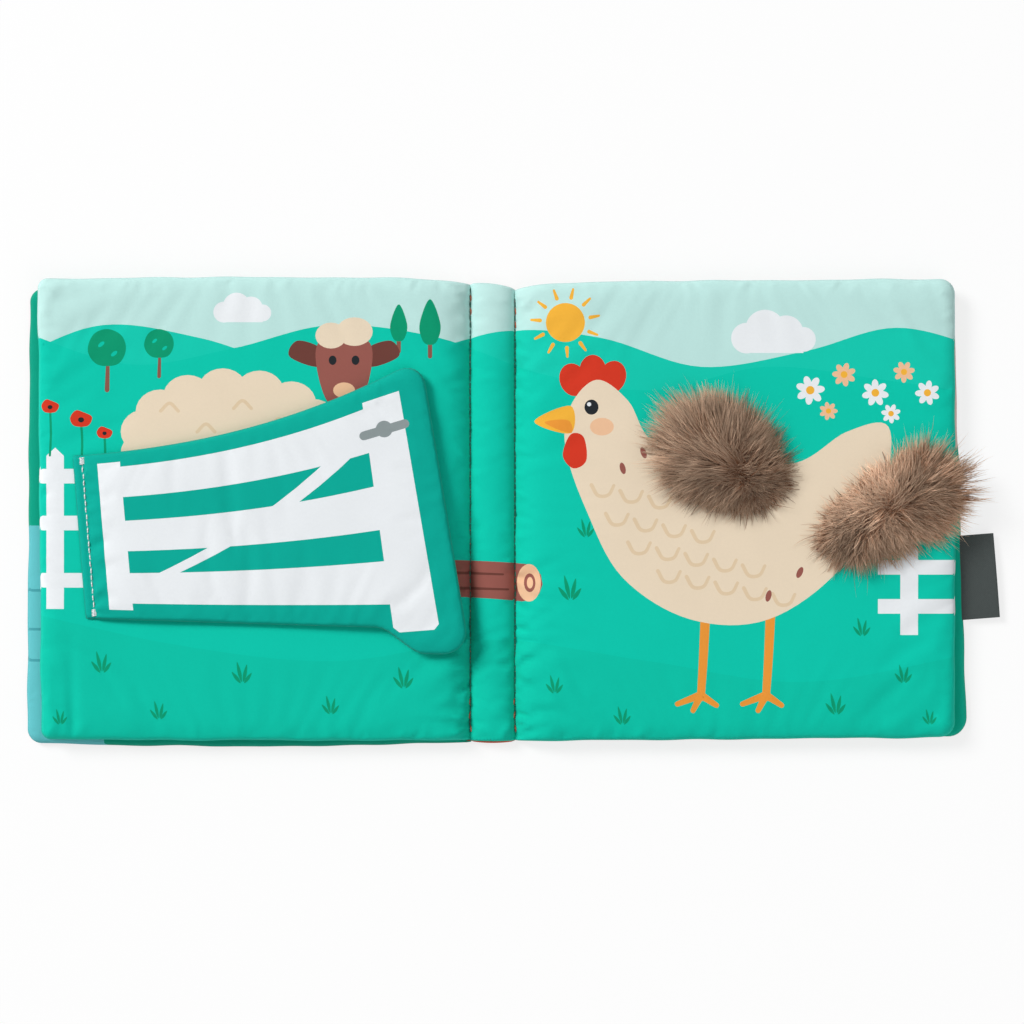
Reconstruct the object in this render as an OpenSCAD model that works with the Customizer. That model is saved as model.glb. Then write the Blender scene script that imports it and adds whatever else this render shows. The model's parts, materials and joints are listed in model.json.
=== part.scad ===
// Padded cloth book lying open at its middle spread.
// Two padded covers and two padded pages are sewn together by two rows of spine stitches.
// A padded gate flap lifts off the left page, two tufts of long-pile fur are sewn to the
// right page, and a folded woven label stands out of the back cover's edge.
// Millimetres. X runs across the spread, Y up the page and Z up off the table.
// The origin is on the table, under the middle of the spine.

/* [Pages and covers] */
// Height of a page from its bottom edge to its top edge
page_h = 177; // [150:1:210]
// Width of a page from its spine seam to its outer edge
page_w = 166; // [156:1:200]
// Radius of a page's outer corners
page_corner_r = 6; // [3:0.5:12]
// Sideways lean of a page's outer edge for each millimetre up the page
page_lean = 0.014; // [-0.02:0.001:0.03]
// Height of a cover from its bottom edge to its top edge
cover_h = 178; // [150:1:210]
// Width of a cover from its spine seam to its outer edge
cover_w = 170; // [160:1:205]
// Radius of a cover's outer corners
cover_corner_r = 9; // [3:0.5:14]
// Sideways lean of a cover's outer edge for each millimetre up the cover
cover_lean = -0.013; // [-0.03:0.001:0.02]

/* [Spine] */
// Distance between the two rows of spine stitches
spine_w = 17.3; // [14:0.1:30]
// Thickness of the cover's padding in the middle of the spine
spine_cover_t = 3.2; // [2:0.1:5]
// Thickness of the inner strip's padding in the middle of the spine
spine_strip_t = 3.3; // [2:0.1:5]
// Width over which the spine's padding rises from a row of stitches
spine_rise = 5; // [3:0.1:8]
// Flat width on each side of a row of stitches that the seam presses
seam_web = 0.6; // [0.5:0.05:1]

/* [Padding] */
// Thickness of a padded cover in its middle
cover_t = 5; // [3:0.1:6]
// Thickness of a padded page in its middle
page_t = 5; // [3:0.1:6]
// Thickness of one padded layer where a row of stitches presses it
seam_t = 1.4; // [0.8:0.1:2]
// Thickness of a sewn outer edge
edge_t = 1.2; // [0.6:0.1:2]
// Height of a cover's sewn outer edge above the table
edge_lift = 1.5; // [0.5:0.1:2.5]
// Height of a page's sewn outer edge above its underside
page_edge_up = 2; // [1:0.1:3]
// Width over which padding falls to a sewn outer edge
edge_fall = 6; // [3:0.5:12]
// Width over which a page's padding rises from a spine seam
seam_rise = 7.5; // [6:0.5:14]
// Clearance between two layers that lie on or beside each other
layer_gap = 0.3; // [0.2:0.05:0.5]

/* [Gate flap] */
// Distance from the nearer spine seam to the middle of the flap's stitches
flap_out = 146.4; // [144:0.1:150]
// Height of the middle of the flap's stitches above the page's middle
flap_mid_y = -10.4; // [-20:0.1:10]
// Turn of the flap's row of stitches from upright, in degrees
flap_turn = 4.6; // [0:0.1:8]
// Height of the flap at its row of stitches
flap_h = 63; // [50:1:75]
// Length of the flap from its stitches to its free edge
flap_len = 137.8; // [120:0.1:139]
// Growth of the flap's top edge from its stitches to its free end
flap_grow_top = 27; // [10:0.5:32]
// Growth of the flap's bottom edge from its stitches to its free end
flap_grow_bottom = 15.7; // [5:0.1:20]
// Extra depth of the gate post's foot at the free end
post_foot = 9.7; // [0:0.1:14]
// Width of the gate post's foot with its border
post_foot_w = 33; // [28:1:45]
// Width over which the bottom edge runs down to the post's foot
post_foot_run = 16; // [8:1:24]
// Sideways lean of the free edge for each millimetre up the flap
flap_lean = 0.085; // [0:0.005:0.12]
// Radius of the free end's corners
flap_corner_r = 11; // [6:0.5:14]
// Thickness of the padded flap in its middle
flap_t = 4; // [2.5:0.1:5]
// Thickness of the flap and its hem at the row of stitches
hem_t = 1.2; // [0.8:0.1:1.5]
// Width of the hem that is sewn down beside the stitches
hem_w = 3.4; // [2.5:0.1:6]
// Height by which the flap's free end stands off the page
flap_lift = 1.2; // [0:0.1:2]
// Width over which the flap's padding rises from its stitches
flap_rise = 6; // [5:0.5:10]

/* [Stitches] */
// Distance from one stitch to the next
stitch_pitch = 2.6; // [2:0.1:4]
// Length of one stitch
stitch_len = 2.2; // [1.2:0.1:2.4]
// Thread thickness in the spine's rows of stitches
spine_thread_d = 0.7; // [0.4:0.05:0.9]
// Thread thickness in the flap's row of stitches
flap_thread_d = 0.5; // [0.3:0.05:0.7]
// Distance from the end of a seam to its first stitch
stitch_margin = 1.5; // [0.5:0.1:5]

/* [Fur tufts] */
// Distance from the right spine seam to the middle of the mane
mane_out = 78.3; // [70:0.1:95]
// Height of the mane's middle above the page's middle
mane_y = 22; // [0:0.5:40]
// Length of the mane
mane_len = 60; // [40:1:72]
// Width of the mane
mane_w = 47; // [30:1:55]
// Height of the mane's pile above the page
mane_pile = 13; // [8:0.5:16]
// Turn of the mane's length from the page's width, in degrees
mane_turn = -22; // [-45:1:45]
// Distance from the right spine seam to the middle of the tail
tail_out = 145.9; // [138:0.1:170]
// Height of the tail's middle above the page's middle
tail_y = 0; // [-20:0.1:20]
// Length of the tail
tail_len = 71; // [50:1:85]
// Width of the tail
tail_w = 43; // [30:1:50]
// Height of the tail's pile above the page
tail_pile = 14; // [8:0.5:18]
// Turn of the tail's length from the page's width, in degrees
tail_turn = 33; // [0:1:60]
// Unevenness of the locks of fur around a tuft, as a share of its radius
lock_depth = 0.1; // [0:0.01:0.15]

/* [Woven label] */
// Length of the label out of the cover's edge
label_len = 14.8; // [8:0.1:25]
// Width of the label along the cover's edge
label_w = 32.6; // [15:0.1:50]
// Height of the label's middle above the cover's middle
label_y = -26; // [-45:0.5:45]
// Turn of the label from square to the page, in degrees
label_turn = 4.5; // [0:0.5:8]
// Thickness of the label's ribbon
ribbon_t = 0.5; // [0.3:0.05:0.55]

/* [Hidden] */

cover_colour = "orangered";
page_colour = "mediumaquamarine";
flap_colour = "lightseagreen";
fur_colour = "rosybrown";
green_thread = "darkgreen";
white_thread = "whitesmoke";
label_colour = "dimgray";

// Heights of the layers in the middle of a page and at a spine seam
page_under_z = cover_t + layer_gap;
page_top_z = page_under_z + page_t;
seam_page_z = seam_t + layer_gap;
seam_top_z = seam_page_z + seam_t;
spine_hinge_z = seam_top_z + spine_thread_d / 2;
on_page_z = page_top_z + layer_gap;
flap_hinge_z = on_page_z + hem_t + flap_thread_d / 2;

// Width of flat cloth on each side of the flap's thread
thread_side = 0.2;

// Distances from the spine's middle
seam_x = spine_w / 2;
pad_start = seam_x + seam_web + layer_gap;
cover_edge_x = seam_x + cover_w;
flap_web = flap_thread_d / 2 + thread_side;
flap_start = flap_web + layer_gap;
flap_mid_x = -(seam_x + flap_out);

// Steps of the meshes that make padded shapes, in shares of the width that they cover
edge_steps = [0, 0.12, 0.4, 0.8, 1.3];
rise_steps = [0, 0.25, 0.55, 1, 1.6, 2.6];
inner_steps = [0.25, 0.5, 0.75];
ring_heights = [0, 0.3, 0.62, 0.86, 0.97];
ring_spread = [0.9, 1, 0.92, 0.68, 0.34];
lock_points = 72;
lock_twist = 9;

function mix(a, b, share) = a + (b - a) * share;
function clamp01(v) = min(1, max(0, v));
function ease(v) = let(c = clamp01(v)) c * c * (3 - 2 * c);
function reversed(v) = [for (i = [len(v) - 1 : -1 : 0]) v[i]];

// Padding rises from a pressed seam along an exponential and falls to a sewn edge as a quarter round.
function rise(d, width) = 1 - exp(-max(0, d) / width);
function fall(d) = sqrt(1 - pow(1 - clamp01(d / edge_fall), 2));
function corner_cut(d, r) = d < r ? r - sqrt(r * r - pow(r - d, 2)) : 0;

// Distances across a strip: close steps at both ends and a few between them.
function strip_steps(first, last) = let(
        inner = [for (s = inner_steps) mix(first[len(first) - 1], last[0], s)]
    ) concat(first, inner, last);
function rows_of(height) = strip_steps(
    [for (s = edge_steps) s * edge_fall / height],
    [for (s = reversed(edge_steps)) 1 - s * edge_fall / height]
);

// A closed shell between two height fields over a grid of columns and rows.
// at(c, r) gives a grid point's place, and low and high its two heights.
module quilt(columns, rows, at, low, high) {
    m = len(rows);
    n = len(columns);
    total = m * n;
    points = concat(
        [for (c = columns, r = rows) concat(at(c, r), low(c, r))],
        [for (c = columns, r = rows) concat(at(c, r), high(c, r))]
    );
    rim = concat(
        [for (i = [0 : n - 1]) i * m],
        [for (j = [1 : m - 1]) (n - 1) * m + j],
        [for (i = [n - 2 : -1 : 0]) i * m + m - 1],
        [for (j = [m - 2 : -1 : 1]) j]
    );
    cells = [for (i = [0 : n - 2], j = [0 : m - 2]) [i * m + j, (i + 1) * m + j, (i + 1) * m + j + 1, i * m + j + 1]];
    faces = concat(
        [for (q = cells) each [[q[0], q[1], q[2]], [q[0], q[2], q[3]]]],
        [for (q = cells) each [
            [q[0] + total, q[2] + total, q[1] + total],
            [q[0] + total, q[3] + total, q[2] + total]
        ]],
        [for (k = [0 : len(rim) - 1]) let(a = rim[k], b = rim[(k + 1) % len(rim)]) each [
            [a, a + total, b],
            [b, a + total, b + total]
        ]]
    );
    polyhedron(points, faces, convexity = 4);
}

// One padded leaf on the right of the spine, pressed at its seam and rounded at its outer corners.
// z holds its heights: [under at the seam, top at the seam, under at the edge, top at the edge, under, top].
module leaf(width, height, corner_r, lean, z) {
    span = seam_x + width - pad_start;
    half = function(d) height / 2 - corner_cut(span - d, corner_r);
    at = function(d, r) let(y = (2 * r - 1) * half(d)) [pad_start + d + lean * y * d / span, y];
    up = function(d) rise(d, seam_rise);
    full = function(d, r) fall(span - d) * fall(half(d) * (1 - abs(2 * r - 1)));
    quilt(
        strip_steps([for (s = rise_steps) s * seam_rise], [for (s = reversed(edge_steps)) span - s * edge_fall]),
        rows_of(height),
        at,
        function(d, r) mix(z[0], mix(z[2], z[4], full(d, r)), up(d)),
        function(d, r) mix(z[1], mix(z[3], z[5], full(d, r)), up(d))
    );
}

module cover_leaf() {
    leaf(cover_w, cover_h, cover_corner_r, cover_lean,
        [0, seam_t, edge_lift, edge_lift + edge_t, 0, cover_t]);
}

module page_leaf() {
    edge_z = page_under_z + page_edge_up;
    leaf(page_w, page_h, page_corner_r, page_lean,
        [seam_page_z, seam_top_z, edge_z - edge_t / 2, edge_z + edge_t / 2, page_under_z, page_top_z]);
}

module front_cover() {
    color(cover_colour) mirror([1, 0, 0]) cover_leaf();
}

module back_cover() {
    color(cover_colour) cover_leaf();
}

module left_page() {
    color(page_colour) mirror([1, 0, 0]) page_leaf();
}

module right_page() {
    color(page_colour) page_leaf();
}

// Share of the spine's full padding at a distance across it.
function channel(x) = let(
        inset = seam_x - seam_web,
        d = max(0, inset - abs(x)),
        far = max(0, inset + abs(x))
    ) rise(d, spine_rise) * rise(far, spine_rise) / pow(rise(inset, spine_rise), 2);

// A length of spine channel: a straight sweep of its padded section.
module spine_channel(height, low_seam, low, high_seam, high) {
    reach = seam_x + seam_web;
    steps = concat([-reach], [for (i = [-8 : 8]) i / 8 * (seam_x - seam_web)], [reach]);
    section = concat(
        [for (x = steps) [x, mix(low_seam, low, channel(x))]],
        [for (x = reversed(steps)) [x, mix(high_seam, high, channel(x))]]
    );
    translate([0, height / 2, 0]) rotate([90, 0, 0]) linear_extrude(height) polygon(section);
}

module spine_cover() {
    color(cover_colour) spine_channel(cover_h, 0, 0, seam_t, spine_cover_t);
}

module spine_strip() {
    low = spine_cover_t + layer_gap;
    color(page_colour) spine_channel(page_h, seam_page_z, low, seam_top_z, low + spine_strip_t);
}

// A row of separate stitches along Y, centred on the seam's own axis.
module stitch_row(length, thread_d) {
    count = floor((length - 2 * stitch_margin) / stitch_pitch);
    for (i = [0 : count - 1])
        translate([0, (i - (count - 1) / 2) * stitch_pitch, 0])
            rotate([90, 0, 0]) cylinder(d = thread_d, h = stitch_len, center = true, $fn = 24);
}

module left_spine_stitches() {
    color(green_thread) translate([-seam_x, 0, spine_hinge_z]) stitch_row(page_h, spine_thread_d);
}

module right_spine_stitches() {
    color(green_thread) translate([seam_x, 0, spine_hinge_z]) stitch_row(page_h, spine_thread_d);
}

// The flap's own frame: Y runs up its row of stitches and X out to its free edge.
module flap_frame(z) {
    translate([flap_mid_x, flap_mid_y, z]) rotate([0, 0, flap_turn]) children();
}

function flap_top(d) = flap_h / 2 + flap_grow_top * pow(d / flap_len, 2.2)
    - corner_cut(flap_len - d, flap_corner_r);
function flap_bottom(d) = -flap_h / 2 - flap_grow_bottom * d / flap_len
    - post_foot * ease((d - flap_len + post_foot_w) / post_foot_run)
    + corner_cut(flap_len - d, flap_corner_r);

module gate_flap() {
    run = flap_len - flap_start;
    at = function(d, r) let(y = mix(flap_bottom(d), flap_top(d), r))
        [d - flap_lean * y * (d - flap_start) / run, y];
    up = function(d) rise(d - flap_start, flap_rise);
    full = function(d, r) fall(flap_len - d)
        * fall((flap_top(d) - flap_bottom(d)) * min(r, 1 - r));
    raised = function(d) flap_lift * (d - flap_start) / run;
    edge_z = flap_t * 0.45;
    color(flap_colour) flap_frame(on_page_z) quilt(
        concat(
            [for (s = rise_steps) flap_start + s * flap_rise],
            [for (i = [1 : 4]) mix(rise_steps[5] * flap_rise, flap_len - post_foot_w - post_foot_run / 4, i / 4)],
            [for (i = [1 : 3]) flap_len - post_foot_w + post_foot_run * i / 3],
            [for (s = reversed(edge_steps)) flap_len - s * edge_fall]
        ),
        rows_of(flap_h),
        at,
        function(d, r) raised(d) + up(d) * (1 - full(d, r)) * (edge_z - edge_t / 2),
        function(d, r) raised(d) + mix(hem_t, mix(edge_z + edge_t / 2, flap_t, full(d, r)), up(d))
    );
}

module flap_hem() {
    color(flap_colour) flap_frame(on_page_z)
        translate([-hem_w, -flap_h / 2, 0]) cube([hem_w + flap_web, flap_h, hem_t]);
}

module flap_stitches() {
    color(white_thread) flap_frame(flap_hinge_z) stitch_row(flap_h, flap_thread_d);
}

// A tuft of long fur: a low dome with furrows between its locks, flat where it is sewn down.
module tuft(length, width, pile) {
    n = lock_points;
    k = len(ring_heights);
    waves = function(a) 0.5 * sin(5 * a + 20) + 0.3 * sin(11 * a + 80) + 0.35 * sin(17 * a + 140);
    furrow = function(a, i) 1 + lock_depth * waves(a + i * lock_twist) * (1 - i / k);
    points = concat(
        [for (i = [0 : k - 1], j = [0 : n - 1]) let(a = j * 360 / n, s = ring_spread[i] * furrow(a, i))
            [cos(a) * length / 2 * s, sin(a) * width / 2 * s, pile * ring_heights[i]]],
        [[0, 0, 0], [0, 0, pile]]
    );
    ring = function(i, j) i * n + j % n;
    faces = concat(
        [for (j = [0 : n - 1]) [ring(0, j), ring(0, j + 1), k * n]],
        [for (i = [0 : k - 2], j = [0 : n - 1]) each [
            [ring(i, j), ring(i + 1, j), ring(i, j + 1)],
            [ring(i, j + 1), ring(i + 1, j), ring(i + 1, j + 1)]
        ]],
        [for (j = [0 : n - 1]) [ring(k - 1, j), k * n + 1, ring(k - 1, j + 1)]]
    );
    polyhedron(points, faces, convexity = 4);
}

module fur_mane() {
    color(fur_colour) translate([seam_x + mane_out, mane_y, on_page_z])
        rotate([0, 0, mane_turn]) tuft(mane_len, mane_w, mane_pile);
}

module fur_tail() {
    color(fur_colour) translate([seam_x + tail_out, tail_y, on_page_z])
        rotate([0, 0, tail_turn]) tuft(tail_len, tail_w, tail_pile);
}

// A ribbon folded back on itself, with both ends in the cover's edge seam.
module woven_label() {
    root_x = cover_edge_x + layer_gap + cover_lean * label_y;
    lean_angle = atan(cover_lean);
    tuck = label_w / 2 * tan(label_turn);
    slit = edge_t - 2 * ribbon_t;
    color(label_colour) translate([root_x, label_y, edge_lift]) difference() {
        rotate([0, 0, label_turn]) translate([-tuck, label_w / 2, 0])
            rotate([90, 0, 0]) linear_extrude(label_w) difference() {
                union() {
                    square([tuck + label_len - edge_t / 2, edge_t]);
                    translate([tuck + label_len - edge_t / 2, edge_t / 2]) circle(d = edge_t, $fn = 32);
                }
                translate([-layer_gap, ribbon_t]) square([tuck + label_len - edge_t / 2 + layer_gap, slit]);
            }
        rotate([0, 0, -lean_angle]) translate([-label_len, -label_w, -edge_t])
            cube([label_len, 2 * label_w, 3 * edge_t]);
    }
}

spine_cover();
spine_strip();
front_cover();
back_cover();
left_page();
right_page();
left_spine_stitches();
right_spine_stitches();
gate_flap();
flap_hem();
flap_stitches();
fur_mane();
fur_tail();
woven_label();
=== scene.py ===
"""Looks of the padded cloth book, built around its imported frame.

Shapes are worked out in millimetres in the frame's own axes and turned into metres when a mesh is made.
The spread's print is one list of coloured outlines, laid over the spine strip and both pages alike.
"""

import json
import math

import bpy
import numpy as np
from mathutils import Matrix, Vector
from mathutils.geometry import delaunay_2d_cdt
from mathutils.kdtree import KDTree


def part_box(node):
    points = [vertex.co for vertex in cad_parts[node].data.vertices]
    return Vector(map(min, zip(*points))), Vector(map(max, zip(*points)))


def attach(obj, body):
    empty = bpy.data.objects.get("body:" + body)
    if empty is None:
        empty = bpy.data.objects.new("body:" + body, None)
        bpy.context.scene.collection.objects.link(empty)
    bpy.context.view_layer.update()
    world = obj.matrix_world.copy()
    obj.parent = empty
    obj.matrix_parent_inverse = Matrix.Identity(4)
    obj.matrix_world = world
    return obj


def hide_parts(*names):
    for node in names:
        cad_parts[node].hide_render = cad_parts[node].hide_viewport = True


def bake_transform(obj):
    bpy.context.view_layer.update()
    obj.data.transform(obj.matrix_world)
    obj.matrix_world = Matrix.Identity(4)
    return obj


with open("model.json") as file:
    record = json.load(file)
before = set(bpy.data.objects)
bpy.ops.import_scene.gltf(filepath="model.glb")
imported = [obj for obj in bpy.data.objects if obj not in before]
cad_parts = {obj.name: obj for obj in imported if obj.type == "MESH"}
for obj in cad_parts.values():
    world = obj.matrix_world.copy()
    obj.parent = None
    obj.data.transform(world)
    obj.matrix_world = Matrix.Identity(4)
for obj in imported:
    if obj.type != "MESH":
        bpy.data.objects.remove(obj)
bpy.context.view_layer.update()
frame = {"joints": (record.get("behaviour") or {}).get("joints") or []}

MM = 0.001
JOINTS = {j["name"]: j for j in frame["joints"]}


def box_mm(node):
    """Lowest and highest corner of a CAD node, in millimetres."""
    return [np.array(point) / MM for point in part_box(node)]


# Sizes read from the frame
SEAM_X = JOINTS["back_cover_hinge"]["pos_m"][0] / MM
PAGE_LOW, PAGE_HIGH = box_mm("right_page")
COVER_LOW, COVER_HIGH = box_mm("back_cover")
STRIP_LOW, STRIP_HIGH = box_mm("spine_strip")
HEM_LOW, HEM_HIGH = box_mm("flap_hem")
LABEL_LOW, LABEL_HIGH = box_mm("woven_label")
SPINE_TOP, MANE_TOP, TAIL_TOP = (box_mm(node)[1][2] for node in ("spine_cover", "fur_mane", "fur_tail"))
PAGE_H = PAGE_HIGH[1] - PAGE_LOW[1]
COVER_H = COVER_HIGH[1] - COVER_LOW[1]
PAGE_TOP = PAGE_HIGH[2]
COVER_TOP = COVER_HIGH[2]
FLAP_HINGE = np.array(JOINTS["flap_hinge"]["pos_m"]) / MM
FLAP_UP = -np.array(JOINTS["flap_hinge"]["axis"])
FLAP_ACROSS = np.array([FLAP_UP[1], -FLAP_UP[0], 0])

# Sizes of the sewn and padded forms. T is a thickness, a RISE or FALL is the width over which padding swells
# from a seam or thins to an edge, and a DIP is how deep the stitches draw the cloth down. At the seams the
# cloth lies a little tighter than its solids do
LAYER_GAP = 0.3
SEAM_T = 1.4
SEAM_TOP = STRIP_LOW[2] + SEAM_T
SEAM_RISE = 4.6
SEAM_END = 0.6
SEAM_GROOVE = 0.9
SEAM_DIP = 0.4
SPINE_RISE = 3.4
EDGE_T = 1.2
EDGE_FALL = 6.0
COVER_FALL = 4.0
STRIP_FALL = 5.0
EDGE_ROLL = 0.5
EDGE_WAVER = 0.35
COVER_EDGE_LIFT = 1.5
COVER_DROP = 0.5
COVER_SINK = 0.1
PAGE_EDGE_UP = 2.0
DROP_RUN = 10.0
LEAF_BEND = 9.0
STITCH_PITCH = 2.6
STITCH_REACH = 0.9
BACK_TACK_RUN = 14.0
PAD_FILL = 0.7
BACKING_FILL = 0.2

# The gate flap
FLAP_H = 63.0
FLAP_LEN = 137.8
FLAP_GROW_TOP = 27.0
FLAP_GROW_BOTTOM = 15.7
FLAP_LEAN = 0.085
FLAP_CORNER_R = 11.0
FLAP_T = 4.0
FLAP_EDGE_UP = 0.45 * FLAP_T
FLAP_LIFT = 1.2
FLAP_RISE = 6.0
FLAP_FALL = 5.0
FLAP_ROLL = 0.8
POST_FOOT = 9.7
POST_FOOT_W = 33.0
POST_FOOT_RUN = 16.0
HEM_T = 1.2
HEM_W = 3.4
HEM_DIP = 0.25

# Stitches: half their length, and their thread's radius, arch and sink
GREEN_STITCH = (1.1, 0.25, 0.16, 0.5)
KNOT = (0.14, 0.17, 0.12, 0.2)
BACK_TACK = (1.2, 0.3, 0.3, 0.5)
UNDER_STITCH = (1.15, 0.3, -0.12, -0.5)
FLAP_STITCH = (1.1, 0.27, 0.3, 0.45)
BAR_TACK = (1.0, 0.26, 0.35, 0.35)

# How far the stitches lie below the tops of the seam and the hem, how far the knots lie below the stitches
# and the back-tacks above them, and the height of the lower stitches
SEAM_SINK = 0.22
HEM_SINK = 0.15
KNOT_SINK = 0.3
TACK_LIFT = 0.1
UNDER_Z = 0.45

# The label: its width, slant and thickness, how far it stands out, how deep it is sewn in, how far below its
# solid's middle it lies, and how much it bows
LABEL_W = 32.6
LABEL_TURN = math.radians(4.5)
LABEL_T = 0.5
LABEL_REACH = 14.0
LABEL_TUCK = 1.6
LABEL_DROP = 0.9
LABEL_BOW = 0.5

# How each half of the book lies, by its side: where its page and its cover end, how those edges lean, and
# the radius of their corners. Each top and foot edge is drawn in so far at the seam and at its outer end, and
# bows out between them. The dip is how much further the tops drop close to the seam
HALVES = {
    -1: {"page": "left_page", "cover": "front_cover", "body": "front_half", "seed": 11, "dip": 1.9,
         "page_edge": 173.9, "page_lean": 0.008, "page_corner": 3.2,
         "page_top": (0.0, 0.0, 0.7), "page_foot": (0.3, 0.7, 0.2),
         "cover_edge": 178.9, "cover_lean": -0.006, "cover_corner": 5.0,
         "cover_top": (0.5, 4.0, 0.0), "cover_foot": (-0.3, -0.5, 1.5)},
    1: {"page": "right_page", "cover": "back_cover", "body": "back_half", "seed": 23, "dip": 2.8,
        "page_edge": 177.5, "page_lean": 0.0, "page_corner": 5.5,
        "page_top": (1.2, 0.0, 0.0), "page_foot": (0.0, 1.5, 0.0),
        "cover_edge": 180.2, "cover_lean": -0.027, "cover_corner": 7.0,
        "cover_top": (1.9, 0.9, 0.0), "cover_foot": (0.7, 1.8, 0.0)},
}

# Small folds that start at seams and edges: how many, their length, width and height, and how far they slant,
# in degrees
FOLDS = {
    "page_seam": (120, 13, 1.4, 0.75),
    "page_foot": (46, 24, 2.0, 1.0),
    "page_rim": (52, 9, 1.7, 0.45),
    "cover_rim": (40, 8, 1.7, 0.3),
    "spine_seam": (90, 10, 1.4, 0.7),
    "spine_foot": (26, 13, 1.9, 0.95),
    "flap_hem": (48, 12, 1.6, 0.6),
    "flap_rim": (34, 9, 1.8, 0.4),
    "flap_end": (28, 9, 1.8, 0.4),
}
FOLD_SLANT = 35

# Cloth simulation: millimetres to one unit of it, how much too large its cloth is, its pressure and length,
# how far its grid stays clear of the edge, as a share of a step, the width of its folds, the furthest that
# one moves a point, and the share of them that pages and flap keep
SIM_MM = 100.0
SIM_GROWTH = 0.03
SIM_PRESSURE = 2.0
SIM_FRAMES = 24
SIM_CLEAR = 0.6
FOLD_SIZE = 9.0
FOLD_LIMIT = 0.9
PAGE_FOLDS = 0.42
FLAP_FOLDS = 0.4

# Fur: locks in a tuft, fibres in a lock, points along a fibre and its width at each, how far a lock's roots
# spread, how deep the point lies that the pile's shading turns about, the tone of the locks at the parting,
# darkened as painted shade, and at the patch's rim, lightened as painted light, and the pile's height before
# it eases off, as a share of its solid's
FUR_LOCKS = 430
FUR_FIBRES = 64
FUR_JOINTS = 5
FIBRE_SHAPE = (0.9, 1.0, 0.9, 0.65, 0.0)
LOCK_SPREAD = 2.0
FUR_DEPTH = 26.0
PARTING_SHADE_TO_RIM_LIGHT = (0.55, 1.32)
FUR_LOFT = 1.45

# Light: the world's level, the floor's share of plain white, and each lamp's place, size and power
WORLD_LIGHT = 0.34
FLOOR_WHITE = 0.76
LAMPS = (("key", (-3.5, 2.6, 3.5), 2.0, 266.0), ("fill", (1.3, -1.5, 2.0), 2.0, 13.0))

# Camera: the image's width and scale, and the pixel that the frame's origin falls on
IMAGE_PX = 1024
MM_PER_PX = 0.384
ORIGIN_PX = (492.5, 510.0)
LENS = 110
SENSOR = 36

# Mesh steps, and columns of extra points beside the rows of stitches
EDGE_STEP = 1.3
PAGE_STEP = 1.7
STRIP_STEP = 1.4
FLAP_STEP = 1.5
COVER_STEP = 3.0
PLAIN_STEP = 2.0
PAGE_SIM_STEP = 2.4
FLAP_SIM_STEP = 2.0
COARSE_STEP = 5.0
PRINT_STEP = 1.0
FINE_STEP = 0.5
RIM_STEP = 0.4
EDGE_RINGS = (0.35, 0.9, 1.7, 2.8, 4.2, 6.0)
ASIDE = (0.3, 0.7, 1.2, 1.9, 2.8)
SEAM_COLUMNS = [row * (SEAM_X + way * d) for d in ASIDE for way in (-1, 1) for row in (-1, 1)]
HEM_COLUMNS = (-1.4, -0.8, -0.4, 0, 0.4, 0.8, 1.4, 2.2)

# How far mesh points stay clear: the print's from the cut's edge, the edge's rings from the print, and, as
# shares of a step, the grid from the print and from the innermost ring
PRINT_CLEAR = 0.3
RING_CLEAR = 0.25
GRID_CLEAR = 0.3
GRID_MARGIN = 0.4

# Colours, written as they look in daylight
COLOURS = {
    "sky": "#c2e9e4",
    "far_hill": "#10cdb4",
    "hill": "#02cab0",
    "near_hill": "#02c5aa",
    "flap_teal": "#00ac9a",
    "leaf": "#039a70",
    "cover_green": "#009c80",
    # A lighter copy of cover_green, painted light on the back cover's inner rim where the page's shadow falls
    "cover_green_painted_light": "#00b698",
    "bark": "#8d5a4c",
    "white": "#eff3f6",
    "cream": "#eedcc2",
    "cream_shade": "#e5cdab",
    "brown": "#9a5b52",
    "dark_brown": "#6f4038",
    "red": "#d83a24",
    "yellow": "#f7b73e",
    "orange": "#ee9a3a",
    "peach": "#f2c39c",
    "black": "#23282c",
    "grey": "#8f9a9b",
    "outer_cover": "#c9573c",
    "pond": "#62c0c6",
    "pond_line": "#489fa7",
    "pale_pink": "#f0d2c8",
    "green_thread": "#0a6350",
    "rust_thread": "#b4532f",
    "white_thread": "#e9eef0",
    "label": "#3a4140",
    "fur_root": "#4a230e",
    "fur_mid": "#86573b",
    "fur_tip": "#d8ba9f",
}


def tint(name, factor=1.0):
    """A colour as linear red, green, blue and alpha, made lighter or darker by a factor."""
    parts = [int(COLOURS[name][i : i + 2], 16) / 255 for i in (1, 3, 5)]
    linear = [v / 12.92 if v <= 0.04045 else ((v + 0.055) / 1.055) ** 2.4 for v in parts]
    return (*[min(1.0, v * factor) for v in linear], 1.0)


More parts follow.
